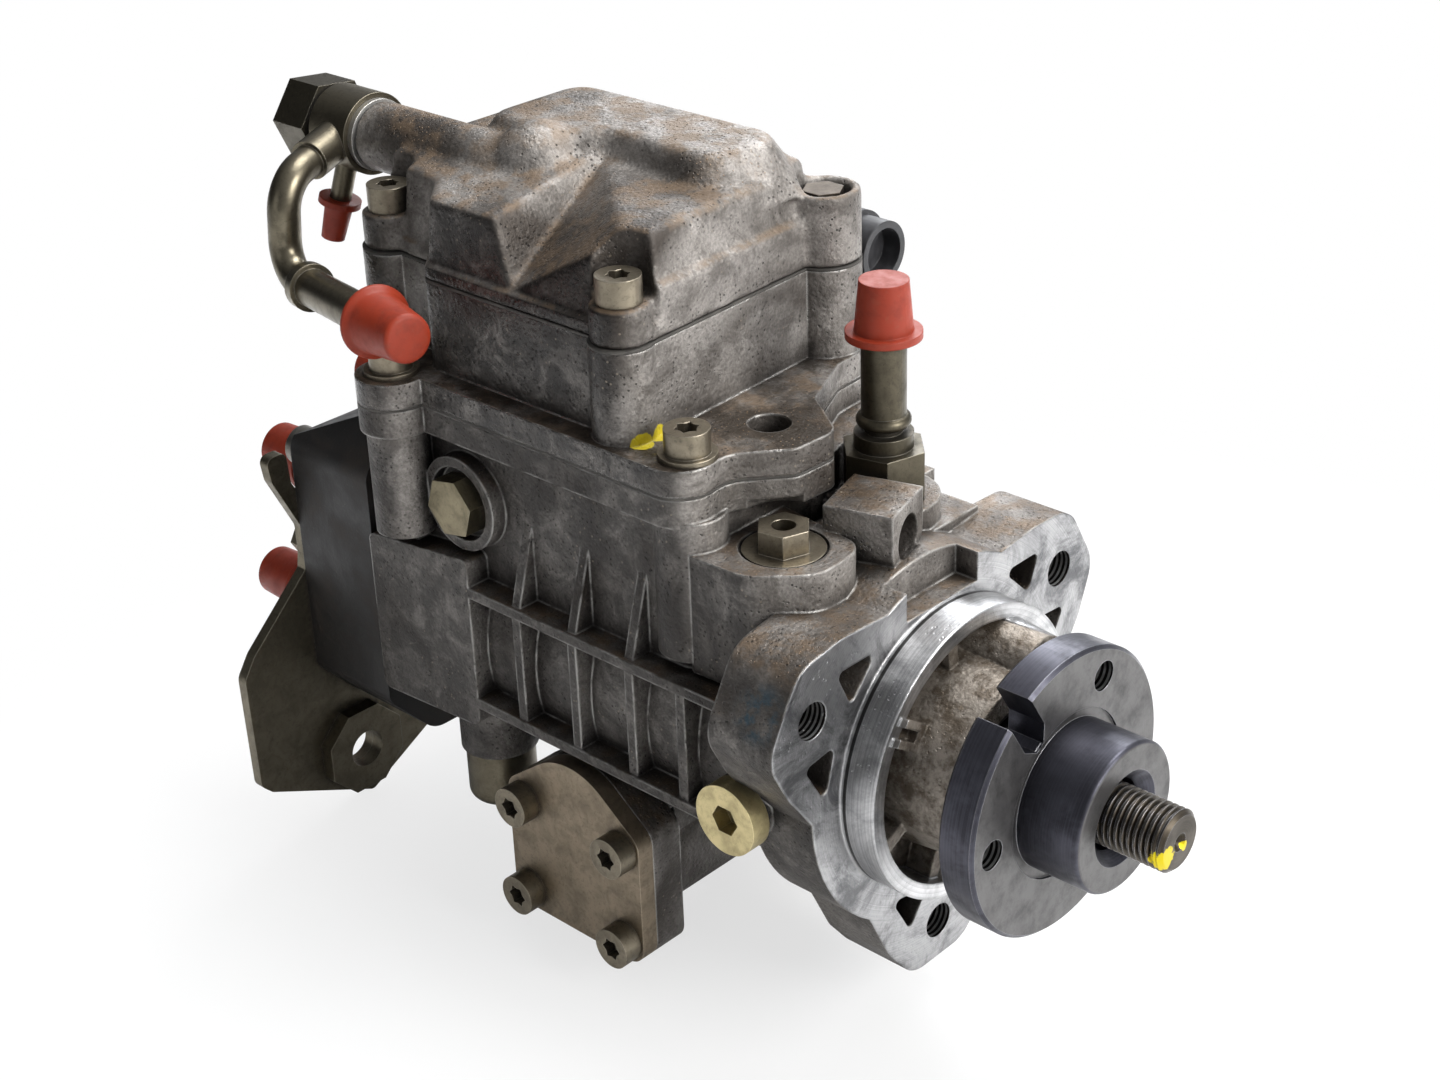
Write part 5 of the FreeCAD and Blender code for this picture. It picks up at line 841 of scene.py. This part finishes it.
class PUMP_OT_studio(bpy.types.Operator):
    """Pale floor, soft lamps and the camera"""
    bl_idname = "pump.studio"
    bl_label = "Studio"

    def execute(self, context):
        scene = context.scene
        low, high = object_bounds()
        middle = (Vector(low) + Vector(high)) / 2
        self.floor(low[2] - 0.0005)
        self.surroundings(scene)
        self.lamp("front_softbox", middle, (0.95, 0.12, 0.50), 0.55, 12.5, (1.0, 0.99, 0.97))
        self.lamp("top_softbox", middle, (0.08, 0.36, 0.90), 0.60, 11.0, (1.0, 1.0, 1.0))
        self.lamp("near_fill", middle, (-0.25, -0.95, 0.25), 0.60, 0.7, (0.96, 0.98, 1.0))
        self.lamp("back_rim", middle, (-0.45, 0.80, 0.50), 0.45, 5.0, (0.95, 0.97, 1.0))
        self.camera(scene)
        scene.view_settings.view_transform = "Standard"
        return {"FINISHED"}

    def floor(self, z):
        """White paper that keeps the pump's shadow and fades to plain white round it."""
        recipe = Recipe("studio_floor")
        reach = recipe.put("ShaderNodeVectorMath", {0: recipe.place}, operation="LENGTH").outputs["Value"]
        white = recipe.put("ShaderNodeEmission", {"Color": (1, 1, 1, 1), "Strength": 1.0}).outputs[0]
        paper = recipe.put("ShaderNodeBsdfDiffuse", {"Color": (0.90, 0.90, 0.90, 1)}).outputs[0]
        rays = recipe.put("ShaderNodeLightPath").outputs
        seen = recipe.math("MAXIMUM", rays["Is Camera Ray"], rays["Is Transmission Ray"])
        share = recipe.times(recipe.level(reach, 0.10, 0.32, 0.68, 1.0), seen)
        both = recipe.put("ShaderNodeMixShader", {0: share, 1: paper, 2: white}).outputs[0]
        recipe.tree.links.new(both, recipe.output.inputs[0])
        side = 3.0
        corners = [(-side, -side, z), (side, -side, z), (side, side, z), (-side, side, z)]
        mesh_object("studio_floor", corners, [(0, 1, 2, 3)], recipe.material, smooth=False)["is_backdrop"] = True

    def surroundings(self, scene):
        """Soft light, stronger from above and the right, behind a plain white backdrop."""
        world = bpy.data.worlds.new("studio_world")
        world.use_nodes = True
        tree = world.node_tree
        tree.nodes.clear()
        out = tree.nodes.new("ShaderNodeOutputWorld")
        soft_light = tree.nodes.new("ShaderNodeBackground")
        soft_light.inputs[0].default_value = (0.95, 0.97, 1.0, 1)
        towards = tree.nodes.new("ShaderNodeTexCoord")
        from_right = tree.nodes.new("ShaderNodeVectorMath")
        from_right.operation = "DOT_PRODUCT"
        from_right.inputs[1].default_value = (0.60, 0.52, 0.61)
        strength = tree.nodes.new("ShaderNodeMapRange")
        for name, value in (("From Min", -0.45), ("From Max", 0.75), ("To Min", 0.035), ("To Max", 0.68)):
            strength.inputs[name].default_value = value
        tree.links.new(towards.outputs["Generated"], from_right.inputs[0])
        tree.links.new(from_right.outputs["Value"], strength.inputs["Value"])
        tree.links.new(strength.outputs[0], soft_light.inputs[1])
        backdrop = tree.nodes.new("ShaderNodeBackground")
        backdrop.inputs[0].default_value = (1, 1, 1, 1)
        backdrop.inputs[1].default_value = 1.0
        path = tree.nodes.new("ShaderNodeLightPath")
        seen = tree.nodes.new("ShaderNodeMath")
        seen.operation = "MAXIMUM"
        tree.links.new(path.outputs["Is Camera Ray"], seen.inputs[0])
        tree.links.new(path.outputs["Is Transmission Ray"], seen.inputs[1])
        chosen = tree.nodes.new("ShaderNodeMixShader")
        for index, source in enumerate((seen, soft_light, backdrop)):
            tree.links.new(source.outputs[0], chosen.inputs[index])
        tree.links.new(chosen.outputs[0], out.inputs[0])
        scene.world = world

    def lamp(self, name, target, offset, size, watts, tint):
        """A round softbox that looks at the target from an offset."""
        data = bpy.data.lights.new(name, "AREA")
        data.shape = "DISK"
        data.size = size
        data.energy = watts
        data.color = tint
        made = bpy.data.objects.new(name, data)
        made.location = target + Vector(offset)
        made.rotation_euler = Vector(offset).to_track_quat("Z", "Y").to_euler()
        bpy.context.scene.collection.objects.link(made)

    def camera(self, scene):
        """The photograph's viewpoint, as azimuth, elevation and roll, placed by the flange's centre."""
        right = Vector((math.cos(VIEW_AZIMUTH), math.sin(VIEW_AZIMUTH), 0))
        up = Vector((-math.sin(VIEW_AZIMUTH) * math.sin(VIEW_ELEVATION),
                     math.cos(VIEW_AZIMUTH) * math.sin(VIEW_ELEVATION), math.cos(VIEW_ELEVATION)))
        back = right.cross(up)
        across = right * math.cos(VIEW_ROLL) + up * math.sin(VIEW_ROLL)
        upward = up * math.cos(VIEW_ROLL) - right * math.sin(VIEW_ROLL)
        distance = sizes().aim_distance
        per_pixel = distance * SENSOR_WIDTH / (sizes().lens * FRAME_WIDTH)
        off_x = (FLANGE_CENTRE_ACROSS - FRAME_WIDTH / 2) * per_pixel
        off_y = (FRAME_HEIGHT / 2 - FLANGE_CENTRE_DOWN) * per_pixel
        place = back * distance - across * off_x - upward * off_y
        data = bpy.data.cameras.new("photo_camera")
        data.lens = sizes().lens
        data.sensor_width = SENSOR_WIDTH
        data.clip_start = 0.01
        made = bpy.data.objects.new("photo_camera", data)
        turn = Matrix((across, upward, back)).transposed()
        made.matrix_world = Matrix.Translation(place) @ turn.to_4x4()
        scene.collection.objects.link(made)
        scene.camera = made


class PUMP_PT_sidebar(bpy.types.Panel):
    """Lists the pump's operators and settings"""
    bl_label = "Diesel injection pump"
    bl_space_type = "VIEW_3D"
    bl_region_type = "UI"
    bl_category = "Pump"

    def draw(self, context):
        for operator in OPERATORS:
            self.layout.operator(operator.bl_idname)
        for group in (context.scene.pump_colours, context.scene.pump_sizes):
            for name in group.__annotations__:
                self.layout.prop(group, name)


OPERATORS = (PUMP_OT_castings, PUMP_OT_cast_lid, PUMP_OT_head, PUMP_OT_drive_end, PUMP_OT_fasteners,
             PUMP_OT_ring_bolt, PUMP_OT_fittings, PUMP_OT_caps, PUMP_OT_inner_works, PUMP_OT_electrics,
             PUMP_OT_studio)
CLASSES = (PumpColours, PumpSizes, *OPERATORS, PUMP_PT_sidebar)


def register():
    for piece in CLASSES:
        bpy.utils.register_class(piece)
    bpy.types.Scene.pump_colours = PointerProperty(type=PumpColours)
    bpy.types.Scene.pump_sizes = PointerProperty(type=PumpSizes)


def unregister():
    del bpy.types.Scene.pump_sizes
    del bpy.types.Scene.pump_colours
    for piece in reversed(CLASSES):
        bpy.utils.unregister_class(piece)


def main():
    register()
    bpy.ops.pump.castings()
    bpy.ops.pump.cast_lid()
    bpy.ops.pump.head()
    bpy.ops.pump.drive_end()
    bpy.ops.pump.fasteners()
    bpy.ops.pump.ring_bolt()
    bpy.ops.pump.fittings()
    bpy.ops.pump.caps()
    bpy.ops.pump.inner_works()
    bpy.ops.pump.electrics()
    bpy.ops.pump.studio()


if __name__ == "__main__":
    main()
